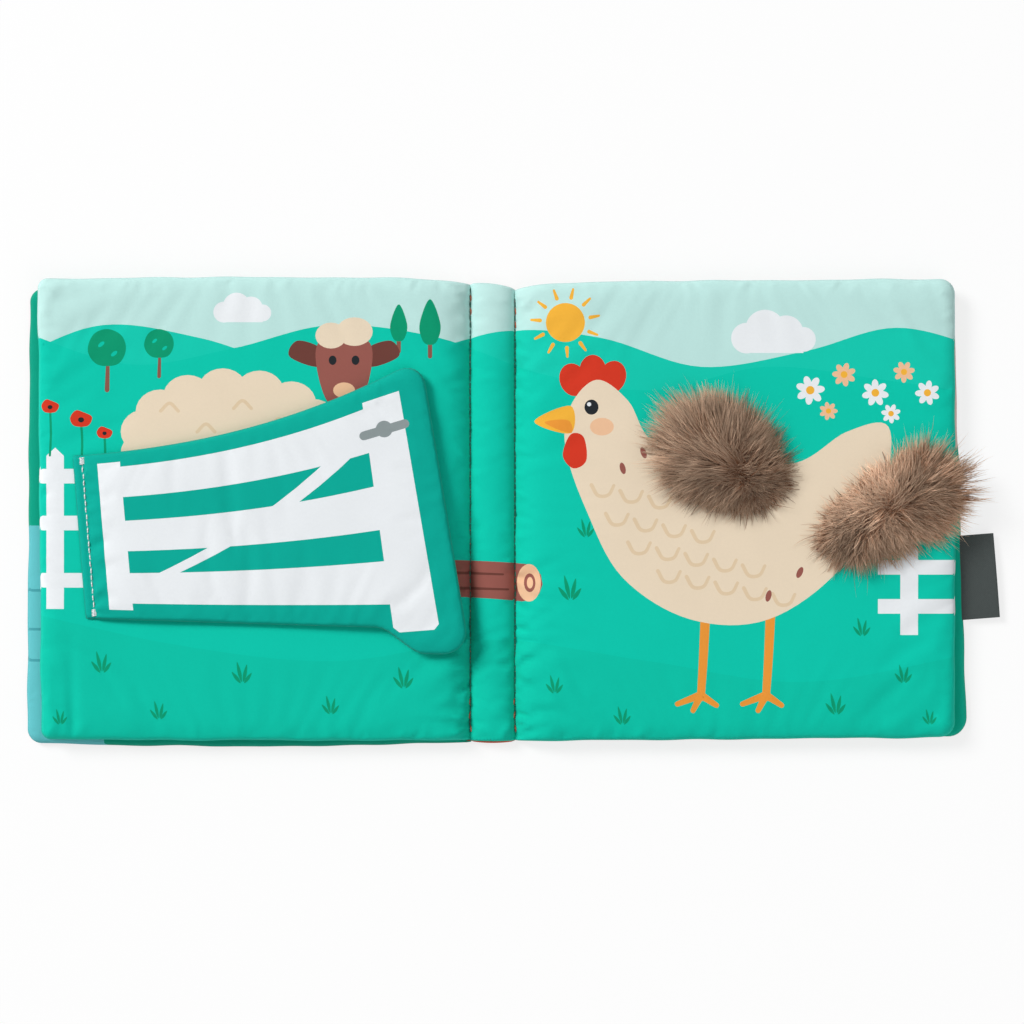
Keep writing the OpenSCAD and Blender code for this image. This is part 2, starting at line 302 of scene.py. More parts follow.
class Shader:
    """The nodes of a material or world, with short calls to add and join them."""

    def __init__(self, owner):
        owner.use_nodes = True
        self.owner = owner
        self.nodes = owner.node_tree.nodes

    def feed(self, node, inputs):
        """Sets a node's inputs to plain values, or joins them to other nodes' outputs."""
        for key, value in inputs.items():
            if isinstance(value, bpy.types.NodeSocket):
                self.owner.node_tree.links.new(value, node.inputs[key])
            else:
                node.inputs[key].default_value = value
        return node

    def add(self, kind, inputs, output=0, **settings):
        """The output of a new node."""
        made = self.nodes.new(kind)
        for key, value in settings.items():
            setattr(made, key, value)
        return self.feed(made, inputs).outputs[output]

    def surface(self, inputs):
        """Feeds the material's surface and returns the material."""
        self.feed(self.nodes["Principled BSDF"], inputs)
        return self.owner

    def flat(self):
        """The piece's own flat cloth coordinates, in millimetres, from its UV map."""
        return self.add("ShaderNodeUVMap", {}, "UV", uv_map="flat")

    def math(self, operation, a, b):
        return self.add("ShaderNodeMath", {0: a, 1: b}, operation=operation)

    def noise(self, vector, scale, detail=3.0):
        return self.add("ShaderNodeTexNoise", {"Vector": vector, "Scale": scale, "Detail": detail})

    def wave(self, vector, period, direction, distortion):
        """Fine bands across the cloth, one for each thread. The vector is in millimetres."""
        inputs = {"Vector": vector, "Scale": math.tau / 20 / period, "Distortion": distortion}
        return self.add("ShaderNodeTexWave", inputs, "Fac", bands_direction=direction)

    def mix(self, factor, a, b, blend="MIX"):
        inputs = {"Factor": factor, 6: a, 7: b}
        return self.add("ShaderNodeMix", inputs, 2, data_type="RGBA", blend_type=blend)

    def bump(self, height, strength, depth_mm):
        inputs = {"Height": height, "Strength": strength, "Distance": depth_mm * MM}
        return self.add("ShaderNodeBump", inputs, "Normal")


def cloth_material(name, colour):
    """Printed woven cloth: plain weave, slubs in the thread and slight unevenness of the dye."""
    shader = Shader(bpy.data.materials.new(name))
    flat = shader.flat()
    warp, weft = (shader.wave(flat, 0.34, way, 0.3) for way in ("X", "Y"))
    slub = shader.noise(flat, 0.9, 4.0)
    dye = shader.noise(flat, 0.045, 5.0)
    patch = shader.mix(dye, tint(colour, 0.96), tint(colour, 1.04))
    weave = shader.math("ADD", shader.math("MULTIPLY", warp, weft), shader.math("MULTIPLY", slub, 0.8))
    return shader.surface({
        "Base Color": shader.mix(shader.math("MULTIPLY", slub, 0.35), patch, tint(colour, 0.86)),
        "Normal": shader.bump(weave, 0.35, 0.12),
        "Roughness": 0.82,
        "Sheen Weight": 0.04,
        "Sheen Roughness": 0.45,
        "Specular IOR Level": 0.12,
    })


def thread_material(name):
    """Twisted sewing thread: slanting plies along its length."""
    shader = Shader(bpy.data.materials.new(name))
    ply = shader.wave(shader.flat(), 0.42, "DIAGONAL", 0.2)
    return shader.surface({
        # The thread is darker in the grooves between its plies and lighter on their crests: painted shade and
        # highlight along the bump's pattern
        "Base Color": shader.mix(ply, tint(name, 0.7), tint(name, 1.15)),
        "Normal": shader.bump(ply, 0.6, 0.12),
        "Roughness": 0.6,
        "Sheen Weight": 0.2,
    })


def label_material():
    """Dense satin-woven ribbon: close diagonal ribs and a faint gloss."""
    shader = Shader(bpy.data.materials.new("label_ribbon"))
    flat = shader.flat()
    ribs = shader.wave(flat, 0.36, "DIAGONAL", 0.15)
    weft = shader.wave(flat, 0.22, "Y", 0.2)
    fuzz = shader.math("MULTIPLY", shader.noise(flat, 0.5, 4.0), 0.3)
    # The ribs are darker in their grooves and lighter on their crests: painted shade and highlight along the
    # bump's pattern
    tone = shader.mix(ribs, tint("label", 0.8), tint("label", 1.15))
    return shader.surface({
        "Base Color": shader.mix(fuzz, tone, tint("label", 1.3)),
        "Normal": shader.bump(shader.math("ADD", ribs, weft), 0.45, 0.1),
        "Roughness": 0.55,
        "Sheen Weight": 0.05,
        "Specular IOR Level": 0.3,
    })


def fur_material():
    """Fur fibres: dark roots, brown lengths and pale tips, each fibre a little lighter or darker, at random
    and as painted shade at the parting and painted light at the patch's rim.
    """
    shader = Shader(bpy.data.materials.new("long_pile_fur"))
    keys = ("along", "tone")
    along, tone = (shader.add("ShaderNodeAttribute", {}, "Fac", attribute_name=key) for key in keys)
    colour = shader.add("ShaderNodeValToRGB", {"Fac": along}, "Color")
    # The dark roots are partly the fur's own colour and partly painted shade deep in the pile
    stops = ((0.0, "fur_root"), (0.4, "fur_mid"), (1.0, "fur_tip"))
    ramp = colour.node.color_ramp.elements
    ramp.new(stops[1][0])
    for element, (place, name) in zip(ramp, stops):
        element.position = place
        element.color = tint(name)
    grey = shader.add("ShaderNodeCombineColor", {0: tone, 1: tone, 2: tone}, "Color")
    return shader.surface({
        "Base Color": shader.mix(1.0, colour, grey, "MULTIPLY"),
        "Roughness": 0.7,
        "Specular IOR Level": 0.1,
    })


THREADS = ("green_thread", "rust_thread", "white_thread")
NOT_CLOTH = (*THREADS, "label", "fur_root", "fur_mid", "fur_tip")
MATERIALS = {name: cloth_material(name, name) for name in COLOURS if name not in NOT_CLOTH}
MATERIALS.update({name: thread_material(name) for name in THREADS})
MATERIALS["label"] = label_material()
MATERIALS["fur"] = fur_material()
MATERIALS["fur_backing"] = cloth_material("fur_backing", "fur_root")
NUMBER = {name: k for k, name in enumerate(MATERIALS)}


# Lines and outlines


def unit(vectors):
    return vectors / (np.linalg.norm(vectors, axis=-1)[..., None] + 1e-9)


def left_of(along):
    return np.stack([-along[:, 1], along[:, 0]], 1)


def run_length(path):
    """The distance along a path at each of its points."""
    return np.concatenate([[0], np.cumsum(np.linalg.norm(np.diff(path, axis=0), axis=1))])


def ellipse(x, y, rx, ry, count=40, turn=0.0):
    a = np.linspace(0, math.tau, count, endpoint=False)
    c, s = math.cos(math.radians(turn)), math.sin(math.radians(turn))
    px, py = rx * np.cos(a), ry * np.sin(a)
    return np.stack([x + px * c - py * s, y + px * s + py * c], 1)


def smooth_line(points, steps=8, closed=False):
    """A smooth curve that passes through all the points."""
    p = np.array(points, float)
    if closed:
        p = np.vstack([p[-1], p, p[0], p[1]])
    else:
        p = np.vstack([2 * p[0] - p[1], p, 2 * p[-1] - p[-2]])
    t = np.linspace(0, 1, steps, endpoint=False)[:, None]
    parts = []
    for a, b, c, d in zip(p, p[1:], p[2:], p[3:]):
        curve = 2 * b + (c - a) * t + (2 * a - 5 * b + 4 * c - d) * t**2 + (3 * b - a - 3 * c + d) * t**3
        parts.append(curve / 2)
    if not closed:
        parts.append(p[-2:-1])
    return np.vstack(parts)


def blob(*points):
    return smooth_line(points, 8, True)


def stroke(points, width, end_width=None):
    """A brush stroke with round ends along a smooth line, from width to end_width."""
    line = smooth_line(points, 6)
    half = np.linspace(width, width if end_width is None else end_width, len(line)) / 2
    along = unit(np.gradient(line, axis=0))
    normal = left_of(along)
    turn = np.linspace(-math.pi / 2, math.pi / 2, 7)[1:-1, None]
    first, last = (
        line[k] + way * half[k] * (along[k] * np.cos(turn) + normal[k] * np.sin(turn))
        for k, way in ((0, -1), (-1, 1))
    )
    side = normal * half[:, None]
    return np.vstack([line - side, last, (line + side)[::-1], first])


def bar(x0, y0, x1, y1):
    return np.array([(x0, y0), (x1, y0), (x1, y1), (x0, y1)], float)


def hill(ridge, floor=-95.0):
    line = smooth_line(ridge, 10)
    return np.vstack([line, [(line[-1][0], floor), (line[0][0], floor)]])


def moved(layers, x, y, size=1.0):
    """Coloured outlines that are drawn about the origin, scaled by size and moved to x, y."""
    return [(colour, outline * size + (x, y)) for colour, outline in layers]


# The spread's print, painted from back to front


def cloud(x, y, size):
    puffs = ((-1.1, 0.0, 0.62), (-0.35, 0.35, 0.8), (0.5, 0.22, 0.7), (1.2, -0.05, 0.5))
    shapes = [("white", ellipse(px, py, r, r)) for px, py, r in puffs]
    return moved([*shapes, ("white", bar(-1.1, -0.6, 1.2, 0))], x, y, size)


def round_tree(x, y, size):
    crown = blob((0, 2.5), (0.62, 2.22), (0.8, 1.6), (0.45, 1), (-0.4, 0.98), (-0.82, 1.55), (-0.6, 2.25))
    trunk = stroke([(0, -0.1), (0.04, 1.4)], 0.2, 0.14)
    light = [("near_hill", ellipse(lx, ly, 0.16, 0.08, turn=40)) for lx, ly in ((-0.25, 1.85), (0.3, 1.45))]
    return moved([("bark", trunk), ("leaf", crown), *light], x, y, size)


def poplar(x, y, height):
    crown = blob((0, 1), (0.19, 0.55), (0.133, 0.24), (0, 0.16), (-0.133, 0.24), (-0.19, 0.55))
    trunk = stroke([(0, -1 / height), (0, 0.4)], 1.6 / height)
    return moved([("bark", trunk), ("leaf", crown)], x, y, height)


def grass(x, y, size):
    blades = []
    for lean, length in ((-38, 0.8), (-13, 1.15), (12, 1.0), (36, 0.7)):
        s, c = math.sin(math.radians(lean)), math.cos(math.radians(lean))
        way, side = length * np.array([s, c]), 0.1 * np.array([c, -s])
        foot = 2 * side * s
        middle = foot + 0.45 * way
        blades.append(("leaf", blob(foot, middle + side, foot + way, middle - side)))
    return moved(blades, x, y, size)


def daisy(x, y, r, petal, turn):
    petals = []
    for a in np.arange(7) * math.tau / 7 + turn:
        shape = ellipse(0.62 * math.cos(a), 0.62 * math.sin(a), 0.42, 0.26, 20, math.degrees(a))
        petals.append((petal, shape))
    return moved([*petals, ("yellow", ellipse(0, 0, 0.3, 0.3, 20))], x, y, r)


def poppy(x, y, size, height):
    stem = stroke([(0, -height), (0.1 * size, -0.5 * height), (0, 0)], 0.9)
    bloom = blob((-1, 0.3), (-0.5, 1), (0.2, 0.85), (1, 0.4), (0.6, -0.4), (-0.6, -0.4))
    heart = ellipse(0, 0.15, 0.28, 0.24, 16)
    return [*moved([("leaf", stem)], x, y), *moved([("red", bloom), ("black", heart)], x, y, size)]


def fence(x0, x1, rails, x, low, high):
    """Plain white rails from x0 to x1, with a pointed post at x."""
    post = [(x - 3.4, low), (x + 3.4, low), (x + 3.4, high - 3.2), (x, high), (x - 3.4, high - 3.2)]
    return [*[("white", bar(x0, y - 2.8, x1, y + 2.8)) for y in rails], ("white", np.array(post))]


def sun(x, y, r):
    rays = []
    for a in np.arange(11) * math.tau / 11 + 0.2:
        ends = [(f * r * math.cos(a), f * r * math.sin(a)) for f in (1.3, 1.75)]
        rays.append(("yellow", stroke(ends, 1.5, 0.9)))
    return moved([*rays, ("yellow", ellipse(0, 0, r, r))], x, y)


def sheep(x, y):
    """A woolly sheep that stands behind the gate and looks over it. x, y is its back's middle."""
    feet = (-26, -12, 14, 27)
    legs = [("dark_brown", stroke([(f, -20), (f + 0.8, -38), (f, -57)], 7.0, 5.2)) for f in feet]
    hooves = [("black", bar(f - 3.1, -61, f + 3.1, -55)) for f in feet]
    turns = np.arange(15) * math.tau / 15
    wool = [("cream", ellipse(34 * math.cos(a), 20 * math.sin(a) - 8, 9.5, 8.5, 24)) for a in turns]
    curl_places = ((-24, 4), (-10, -4), (4, 5), (18, -2), (-18, -14), (-2, -16), (14, -17))
    curl = ("cream_shade", stroke([(-3.4, 0), (0, 3.0), (3.4, 0)], 1.3))
    curls = [shape for place in curl_places for shape in moved([curl], *place)]
    head = [
        *[("dark_brown", blob((9 * s, 6), (18 * s, 9), (21 * s, 3), (10 * s, -1))) for s in (-1, 1)],
        ("brown", blob((0, 12), (10, 8), (10, -4), (5, -16), (-5, -16), (-10, -4), (-10, 8))),
        ("cream", ellipse(-5, 11, 6, 5, 24)),
        ("cream", ellipse(4, 12.5, 7, 5.5, 24)),
        *[("black", ellipse(4.4 * s, 1.5, 1.5, 1.8, 16)) for s in (-1, 1)],
        ("peach", ellipse(0, -10, 4.2, 3.0, 20)),
    ]
    body = [*legs, *hooves, *wool, ("cream", ellipse(0, -8, 35, 21)), *curls]
    return moved([*body, *moved(head, 43, 22)], x, y)


def hen(x, y):
    """A cream hen that looks left, with its wing and tail left for the fur. x, y is its body's middle."""
    leg = [("orange", stroke([(2, -30), (1, -52), (0, -68)], 3.8, 3.0))]
    for toe in ((-9, -70.5), (-3, -73), (6, -71)):
        leg.append(("orange", stroke([(0, -67), toe], 3.0, 2.0)))
    comb_places = ((-61, 54, 20), (-53.5, 57.2, 0), (-46, 55, -20))
    comb = [("red", ellipse(px, py, 5.2, 6.4, 24, turn)) for px, py, turn in comb_places]
    body = blob(
        (-62, 44), (-52, 54), (-40, 46), (-30, 30), (-5, 24), (24, 22), (44, 34), (60, 36), (58, 12),
        (42, -18), (14, -38), (-16, -38), (-42, -22), (-56, 4), (-64, 28),
    )
    feather = ("cream_shade", stroke([(-4, 1.6), (-1.5, -2.4), (2.5, -2.2), (4.6, 1.4)], 1.5, 1.2))
    feathers = []
    for row, (across, down, count) in enumerate(((-50, 12, 3), (-46, 1, 4), (-39, -10, 5), (-29, -21, 5))):
        for k in range(count):
            feathers += moved([feather], across + 11 * k + 1.5 * row, down - 2.2 * k)
    speck_places = (
        (-34, 26, 20), (-42, 20, 15), (34, -10, -35), (26, -20, -25), (42, -2, -40), (14, -29, -15),
    )
    specks = [("brown", ellipse(px, py, 1.1, 2.3, 14, turn)) for px, py, turn in speck_places]
    face = [
        ("yellow", blob((-62, 44), (-76, 38), (-62, 33.5))),
        ("orange", blob((-63, 38.5), (-72, 37.6), (-62, 33.5))),
        ("red", blob((-62, 33), (-57, 32), (-56, 23), (-61, 20), (-65, 25))),
        ("peach", ellipse(-50, 36, 4.6, 3.4, 20)),
        ("black", ellipse(-54, 43.5, 2.7, 2.9, 24)),
        ("white", ellipse(-54.9, 44.6, 0.8, 0.8, 12)),
    ]
    legs = [*moved(leg, -12, 0), *moved(leg, 13, 0)]
    return moved([*legs, *comb, ("cream", body), *feathers, *specks, *face], x, y)


def log(x, y):
    """A sawn log that lies across the spine."""
    return moved([
        ("brown", stroke([(-22, 1), (0, 0), (12, -1)], 14.0, 14.5)),
        ("dark_brown", stroke([(-18, 3), (4, 2.2)], 1.2, 0.8)),
        ("dark_brown", stroke([(-14, -3), (6, -3.6)], 1.2, 0.8)),
        ("peach", ellipse(14, -1, 4.6, 7.2)),
        ("brown", ellipse(14.3, -1, 2.2, 3.6, 24)),
        ("peach", ellipse(14.4, -1, 1.2, 2.2, 20)),
    ], x, y)


def spread_print():
    far = hill([
        (-185, 58), (-150, 71), (-112, 66), (-70, 54), (-30, 60), (5, 69), (42, 66), (80, 55), (120, 61),
        (155, 70), (190, 62),
    ])
    mid = hill([
        (-185, 70), (-140, 56), (-100, 62), (-62, 71), (-20, 66), (20, 52), (62, 46), (105, 55),
        (150, 50), (190, 44),
    ])
    near = hill([(-185, -38), (-120, -52), (-60, -58), (0, -50), (60, -58), (120, -66), (190, -54)])
    tufts = (
        (-150, -62, 7), (-128, -80, 6), (-96, -66, 7), (-62, -78, 6), (-34, -68, 7), (-166, -82, 5),
        (30, -34, 8), (24, -70, 6), (50, -82, 6), (132, -78, 7), (158, -66, 6), (142, -48, 6),
        (36, -10, 6), (168, -82, 5),
    )
    flowers = (
        (122, 46, 5.4, "white", 0.1), (135, 52, 4.4, "peach", 0.4), (147, 45, 5.0, "white", 0.7),
        (158, 53, 4.0, "peach", 0.2), (167, 45, 4.6, "white", 0.5), (129, 38, 3.4, "peach", 0.9),
        (153, 37, 3.6, "white", 0.3),
    )
    layers = [("far_hill", far), *cloud(108, 66, 9.5), *cloud(-96, 76, 6.5), ("hill", mid), *sun(28, 72, 7.5)]
    layers += [*round_tree(-148, 47, 9), *round_tree(-128, 52, 7), *poplar(-24, 60, 21), *poplar(-36, 62, 17)]
    layers.append(("near_hill", near))
    for tuft in tufts:
        layers += grass(*tuft)
    layers += [*fence(-185, -156, (13, -5, -27), -168, -38, 24), *fence(148, 190, (-22, -37), 160, -48, -12)]
    layers += [*poppy(-158, 34, 4.2, 18), *poppy(-170, 39, 3.4, 18), *poppy(-149, 29, 3.0, 14)]
    for flower in flowers:
        layers += daisy(*flower)
    return [*layers, *log(0, -27), *sheep(-100, 34), *hen(92, -4)]


PRINT = spread_print()
INNER_COVER_PRINT = [
    ("pond", bar(-200, -100, -150, -6)),
    *[("pond_line", bar(-200, y - 0.5, -150, y + 0.5)) for y in (-31, -46, -58)],
    # The back cover's inner rim below the pink is printed a lighter green, as painted light against the
    # page's shadow
    ("cover_green_painted_light", bar(150, -100, 200, 24)),
    ("pale_pink", bar(150, 24, 200, 84)),
]


# Flat cuts turned into padded pieces


def inside(points, outline):
    """Which points lie inside a closed outline, by counting the edges to their right."""
    found = np.zeros(len(points), bool)
    near = np.where(((points >= outline.min(0)) & (points <= outline.max(0))).all(1))[0]
    x, y = points[near].T
    for (ax, ay), (bx, by) in zip(outline, np.roll(outline, -1, 0)):
        if len(near) and ay != by:
            crosses = (ay > y) != (by > y)
            found[near] ^= crosses & (x < (bx - ax) * (y - ay) / (by - ay) + ax)
    return found


def resample(outline, step, closed=True):
    """Points along an outline, no further than step apart, with its own corners kept."""
    ends = np.vstack([outline, outline[:1]]) if closed else outline
    parts = []
    for a, b in zip(ends, ends[1:]):
        count = max(1, math.ceil(np.linalg.norm(b - a) / step))
        parts.append(a + (b - a) * (np.arange(count) / count)[:, None])
    if not closed:
        parts.append(ends[-1:])
    return np.vstack(parts)


def inset(outline, depth):
    """An outline moved inwards. The outline runs anticlockwise."""
    ahead = np.roll(outline, -1, 0) - outline
    along = unit(unit(ahead) + unit(np.roll(ahead, 1, 0)))
    return outline + depth * left_of(along)


def plane_tree(points):
    """A search tree of points in the plane, which are numbered in their order."""
    tree = KDTree(len(points))
    for i, (x, y) in enumerate(points):
        tree.insert((x, y, 0), i)
    tree.balance()
    return tree


def distance_to(points, targets):
    """Distance of each point from the nearest of the targets, in the plane."""
    if not len(targets):
        return np.full(len(points), np.inf)
    tree = plane_tree(targets)
    return np.array([tree.find((x, y, 0))[2] for x, y in points])


def hex_grid(outline, step):
    """Points of a triangular grid inside an outline."""
    low, high = outline.min(0), outline.max(0)
    rows = []
    for k, y in enumerate(np.arange(low[1], high[1], step * math.sqrt(3) / 2)):
        x = np.arange(low[0] + (k % 2) * step / 2, high[0], step)
        rows.append(np.column_stack([x, np.full(len(x), y)]))
    points = np.vstack(rows)
    return points[inside(points, outline)]


def triangulate(outline, points, segments=()):
    """Triangles over a flat cut. The outline's own points come first and stay in order."""
    count = len(outline)
    verts = [Vector(p) for p in np.vstack([outline, points])]
    edges = [(i, (i + 1) % count) for i in range(count)]
    edges += [(a + count, b + count) for a, b in segments]
    made = delaunay_2d_cdt(verts, edges, [], 1, 1e-5)
    flat = np.array([tuple(v) for v in made[0]])
    tris = np.array([f for f in made[2] if len(f) == 3])
    order = {}
    for new, old in enumerate(made[3]):
        for o in old:
            order.setdefault(o, new)
    rim = np.array([order[i] for i in range(count)])
    a, b, c = (flat[tris[:, k]] for k in range(3))
    turned = np.cross(b - a, c - a) < 0
    tris[turned] = tris[turned][:, ::-1]
    return flat, tris, rim


def print_points(layers, outline, edge):
    """The print's outlines as points and the segments between them, kept clear of the cut's edge."""
    points, segments, count = [np.zeros((0, 2))], [], 0
    for _, shape in layers:
        line = resample(shape, PRINT_STEP)
        keep = inside(line, outline)
        keep[keep] = distance_to(line[keep], edge) > PRINT_CLEAR
        index = np.full(len(line), -1)
        index[keep] = count + np.arange(keep.sum())
        count += keep.sum()
        points.append(line[keep])
        segments += [(a, b) for a, b in zip(index, np.roll(index, -1)) if a >= 0 and b >= 0]
    return np.vstack(points), segments


def flat_cut(outline, layers, step, base, extra=()):
    """A flat triangulated cut of cloth with its print: points, triangles, rim and each triangle's colour."""
    edge = resample(outline, FINE_STEP)
    lines, segments = print_points(layers, outline, edge)
    depths = EDGE_RINGS if step < COARSE_STEP else EDGE_RINGS[1::2]
    rings = np.vstack([inset(outline, depth) for depth in depths])
    rings = rings[inside(rings, outline)]
    rings = rings[distance_to(rings, lines) > RING_CLEAR]
    grid = hex_grid(outline, step)
    if len(extra):
        grid = np.vstack([grid, extra[inside(extra, outline)]])
    within = distance_to(grid, edge) > EDGE_RINGS[-1] + GRID_MARGIN * step
    grid = grid[within & (distance_to(grid, lines) > GRID_CLEAR * step)]
    flat, tris, rim = triangulate(outline, np.vstack([lines, rings, grid]), segments)
    centres = flat[tris].mean(1)
    colour = np.full(len(tris), NUMBER[base])
    for name, shape in layers:
        colour[inside(centres, shape)] = NUMBER[name]
    return flat, tris, rim, colour


def edge_colours(centres, flat, tris, rim, colour):
    """The colour of the print beside each triangle of the rolled edge."""
    by_vertex = np.zeros(len(flat), int)
    for k in range(3):
        by_vertex[tris[:, k]] = colour
    tree = plane_tree(flat[rim])
    return np.array([by_vertex[rim[tree.find((x, y, 0))[1]]] for x, y in centres])


def band(a, b):
    """Triangles between two closed rings, given by the numbers of their points."""
    a_next, b_next = np.roll(a, -1), np.roll(b, -1)
    return np.vstack([np.stack([a, b, b_next], 1), np.stack([a, b_next, a_next], 1)])


def skin(rows, count):
    """Triangles over rows of points, each of them a closed ring."""
    rings = np.arange(rows * count).reshape(rows, count)
    return np.vstack([band(a, b)[:, ::-1] for a, b in zip(rings, rings[1:])])


def add_object(name, data):
    made = bpy.data.objects.new(name, data)
    bpy.context.scene.collection.objects.link(made)
    return made


def make_object(name, verts, tris, colour, flat):
    """A smooth mesh object from millimetre points, triangles, colour numbers and flat coordinates."""
    mesh = bpy.data.meshes.new(name)
    mesh.vertices.add(len(verts))
    mesh.vertices.foreach_set("co", (verts * MM).astype(np.float32).ravel())
    mesh.loops.add(len(tris) * 3)
    mesh.loops.foreach_set("vertex_index", tris.astype(np.int32).ravel())
    mesh.polygons.add(len(tris))
    mesh.polygons.foreach_set("loop_start", np.arange(0, len(tris) * 3, 3, dtype=np.int32))
    mesh.polygons.foreach_set("use_smooth", np.ones(len(tris), bool))
    used, index = np.unique(colour, return_inverse=True)
    for k in used:
        mesh.materials.append(list(MATERIALS.values())[k])
    mesh.polygons.foreach_set("material_index", index.astype(np.int32))
    layer = mesh.uv_layers.new(name="flat")
    layer.data.foreach_set("uv", flat.astype(np.float32)[tris.ravel()].ravel())
    mesh.update()
    mesh.validate()
    return add_object(name, mesh)


def with_heights(points, heights):
    return np.column_stack([points, heights])


def padded_piece(name, outline, top, under, layers, base, under_base, step, extra=(), place=with_heights,
                 roll=EDGE_ROLL):
    """A closed padded piece: a printed upper cloth, a plain under cloth and a rolled edge between them.

    top and under give heights at flat points. place turns flat points and heights into frame points.
    """
    outline = resample(outline, EDGE_STEP)
    flat, tris, rim, colour = flat_cut(outline, layers, step, base, extra)
    low_flat, low_tris, low_rim, low_colour = flat_cut(outline, [], COARSE_STEP, under_base)
    high, low = top(flat), under(low_flat)
    points = np.vstack([flat, low_flat, inset(outline, -roll)])
    heights = np.concatenate([high, low, (high[rim] + low[low_rim]) / 2])
    rolled = np.arange(len(outline)) + len(flat) + len(low_flat)
    sides = np.vstack([band(rim, rolled), band(rolled, low_rim + len(flat))])
    side_colour = edge_colours(points[sides].mean(1), flat, tris, rim, colour)
    all_tris = np.vstack([tris, low_tris[:, ::-1] + len(flat), sides])
    all_colour = np.concatenate([colour, low_colour, side_colour])
    return make_object(name, place(points, heights), all_tris, all_colour, points)


def settle(made, slot, *nodes, body=None, fill=None):
    """Attaches a piece to its body and hides the CAD nodes it stands for. slot, its finish, and fill, how
    firm its padding is, are not used.
    """
    if body:
        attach(made, body)
    if nodes:
        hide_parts(*nodes)


# Padding


def rise(d, width):
    return 1 - np.exp(-np.maximum(d, 0) / width)


def fall(d, width=EDGE_FALL):
    return np.sqrt(1 - (1 - np.clip(d / width, 0, 1)) ** 2)


def mix(a, b, share):
    return a + (b - a) * share


def simulated_folds(outline, step):
    """The small folds that cloth simulation leaves in a padded piece's upper cloth, in millimetres.

    The cloth is sewn down along its whole outline, is a little too large for it, and is pressed up by the
    wadding. What a slow average leaves over is its folds, which are returned as a function of flat points.
    """
    scene = bpy.context.scene
    line = resample(outline, step)
    grid = hex_grid(line, step)
    flat, tris, rim = triangulate(line, grid[distance_to(grid, line) > SIM_CLEAR * step])
    mesh = bpy.data.meshes.new("simulated_cloth")
    mesh.from_pydata([(x / SIM_MM, y / SIM_MM, 0) for x, y in flat], [], tris.tolist())
    cloth = add_object("simulated_cloth", mesh)
    cloth.vertex_groups.new(name="sewn").add(rim.tolist(), 1.0, "REPLACE")
    modifier = cloth.modifiers.new("cloth", "CLOTH")
    settings = modifier.settings
    settings.vertex_group_mass = "sewn"
    settings.use_pressure = True
    settings.uniform_pressure_force = SIM_PRESSURE
    settings.shrink_min = -SIM_GROWTH
    settings.bending_stiffness = 0.05
    settings.effector_weights.gravity = 0
    modifier.collision_settings.use_collision = False
    modifier.point_cache.frame_end = SIM_FRAMES
    for number in range(1, SIM_FRAMES + 1):
        scene.frame_set(number)
    shaped = cloth.evaluated_get(bpy.context.evaluated_depsgraph_get()).data
    height = np.array([v.co.z for v in shaped.vertices]) * SIM_MM
    bpy.data.objects.remove(cloth)
    scene.frame_set(1)
    tree = plane_tree(flat)

    def average(values, found, weight):
        share = np.array([weight(f[2]) for f in found])
        return share @ values[[f[1] for f in found]] / share.sum()

    def slow(x, y):
        near = tree.find_range((x, y, 0), 2 * FOLD_SIZE)
        return average(height, near, lambda d: math.exp(-((d / FOLD_SIZE) ** 2)))

    folds = height - [slow(x, y) for x, y in flat]

    def at(points):
        nearest = [tree.find_n((x, y, 0), 4) for x, y in points]
        total = np.array([average(folds, found, lambda d: 1 / (d + 0.05)) for found in nearest])
        return np.clip(total, -FOLD_LIMIT, FOLD_LIMIT)

    return at


class Wrinkles:
    """Small folds that start at a seam or an edge and run out into the cloth."""

    def __init__(self, seed):
        self.random = np.random.default_rng(seed)
        self.folds = []

    def along(self, kind, start, end, inward):
        """Folds of one kind along a line from start to end. inward points from the line into the cloth."""
        count, length, width, height = FOLDS[kind]
        start, end = np.array(start, float), np.array(end, float)
        for _ in range(count):
            foot = start + (end - start) * self.random.random()
            turn = math.radians(self.random.normal(0, FOLD_SLANT))
            c, s = math.cos(turn), math.sin(turn)
            way = np.array([inward[0] * c - inward[1] * s, inward[0] * s + inward[1] * c])
            size = self.random.uniform(0.5, 1.3)
            lift = height * self.random.uniform(0.4, 1.2) * self.random.choice((-1, 1), p=(0.45, 0.55))
            self.folds.append((foot, way, length * size, width * self.random.uniform(0.7, 1.4), lift))

    def along_rim(self, kind, side, outer, half):
        """Folds along the three sewn edges of a leaf."""
        seam = side * SEAM_X
        self.along(kind, (seam, half), (outer, half), (0, -1))
        self.along(kind, (seam, -half), (outer, -half), (0, 1))
        self.along(kind, (outer, -half), (outer, half), (-side, 0))

    def fold(self, foot, end, width, height):
        """One fold in a known place."""
        way = np.subtract(end, foot)
        length = np.linalg.norm(way)
        self.folds.append((np.array(foot), way / length, length, width, height))

    def __call__(self, points):
        total = np.zeros(len(points))
        for foot, way, length, width, lift in self.folds:
            rel = points - foot
            s = (rel @ way) / length
            across = (rel @ np.array([-way[1], way[0]])) / (width * (0.6 + 0.9 * np.clip(s, 0, 1)))
            near = (s > 0) & (s < 1) & (np.abs(across) < 2.5)
            grow = np.clip(s[near] / 0.12, 0, 1) * (1 - s[near]) ** 1.3
            total[near] += lift * grow * np.exp(-(across[near] ** 2) * 1.6)
        return total


def ripple(points, seed, size, height):
    """Slow unevenness of the wadding."""
    random = np.random.default_rng(seed)
    total = np.zeros(len(points))
    for _ in range(6):
        angle, phase = random.uniform(0, math.pi), random.uniform(0, math.tau)
        wave = math.tau / (size * random.uniform(0.7, 1.8))
        total += np.sin(wave * (points @ (math.cos(angle), math.sin(angle))) + phase)
    return total * height / 3


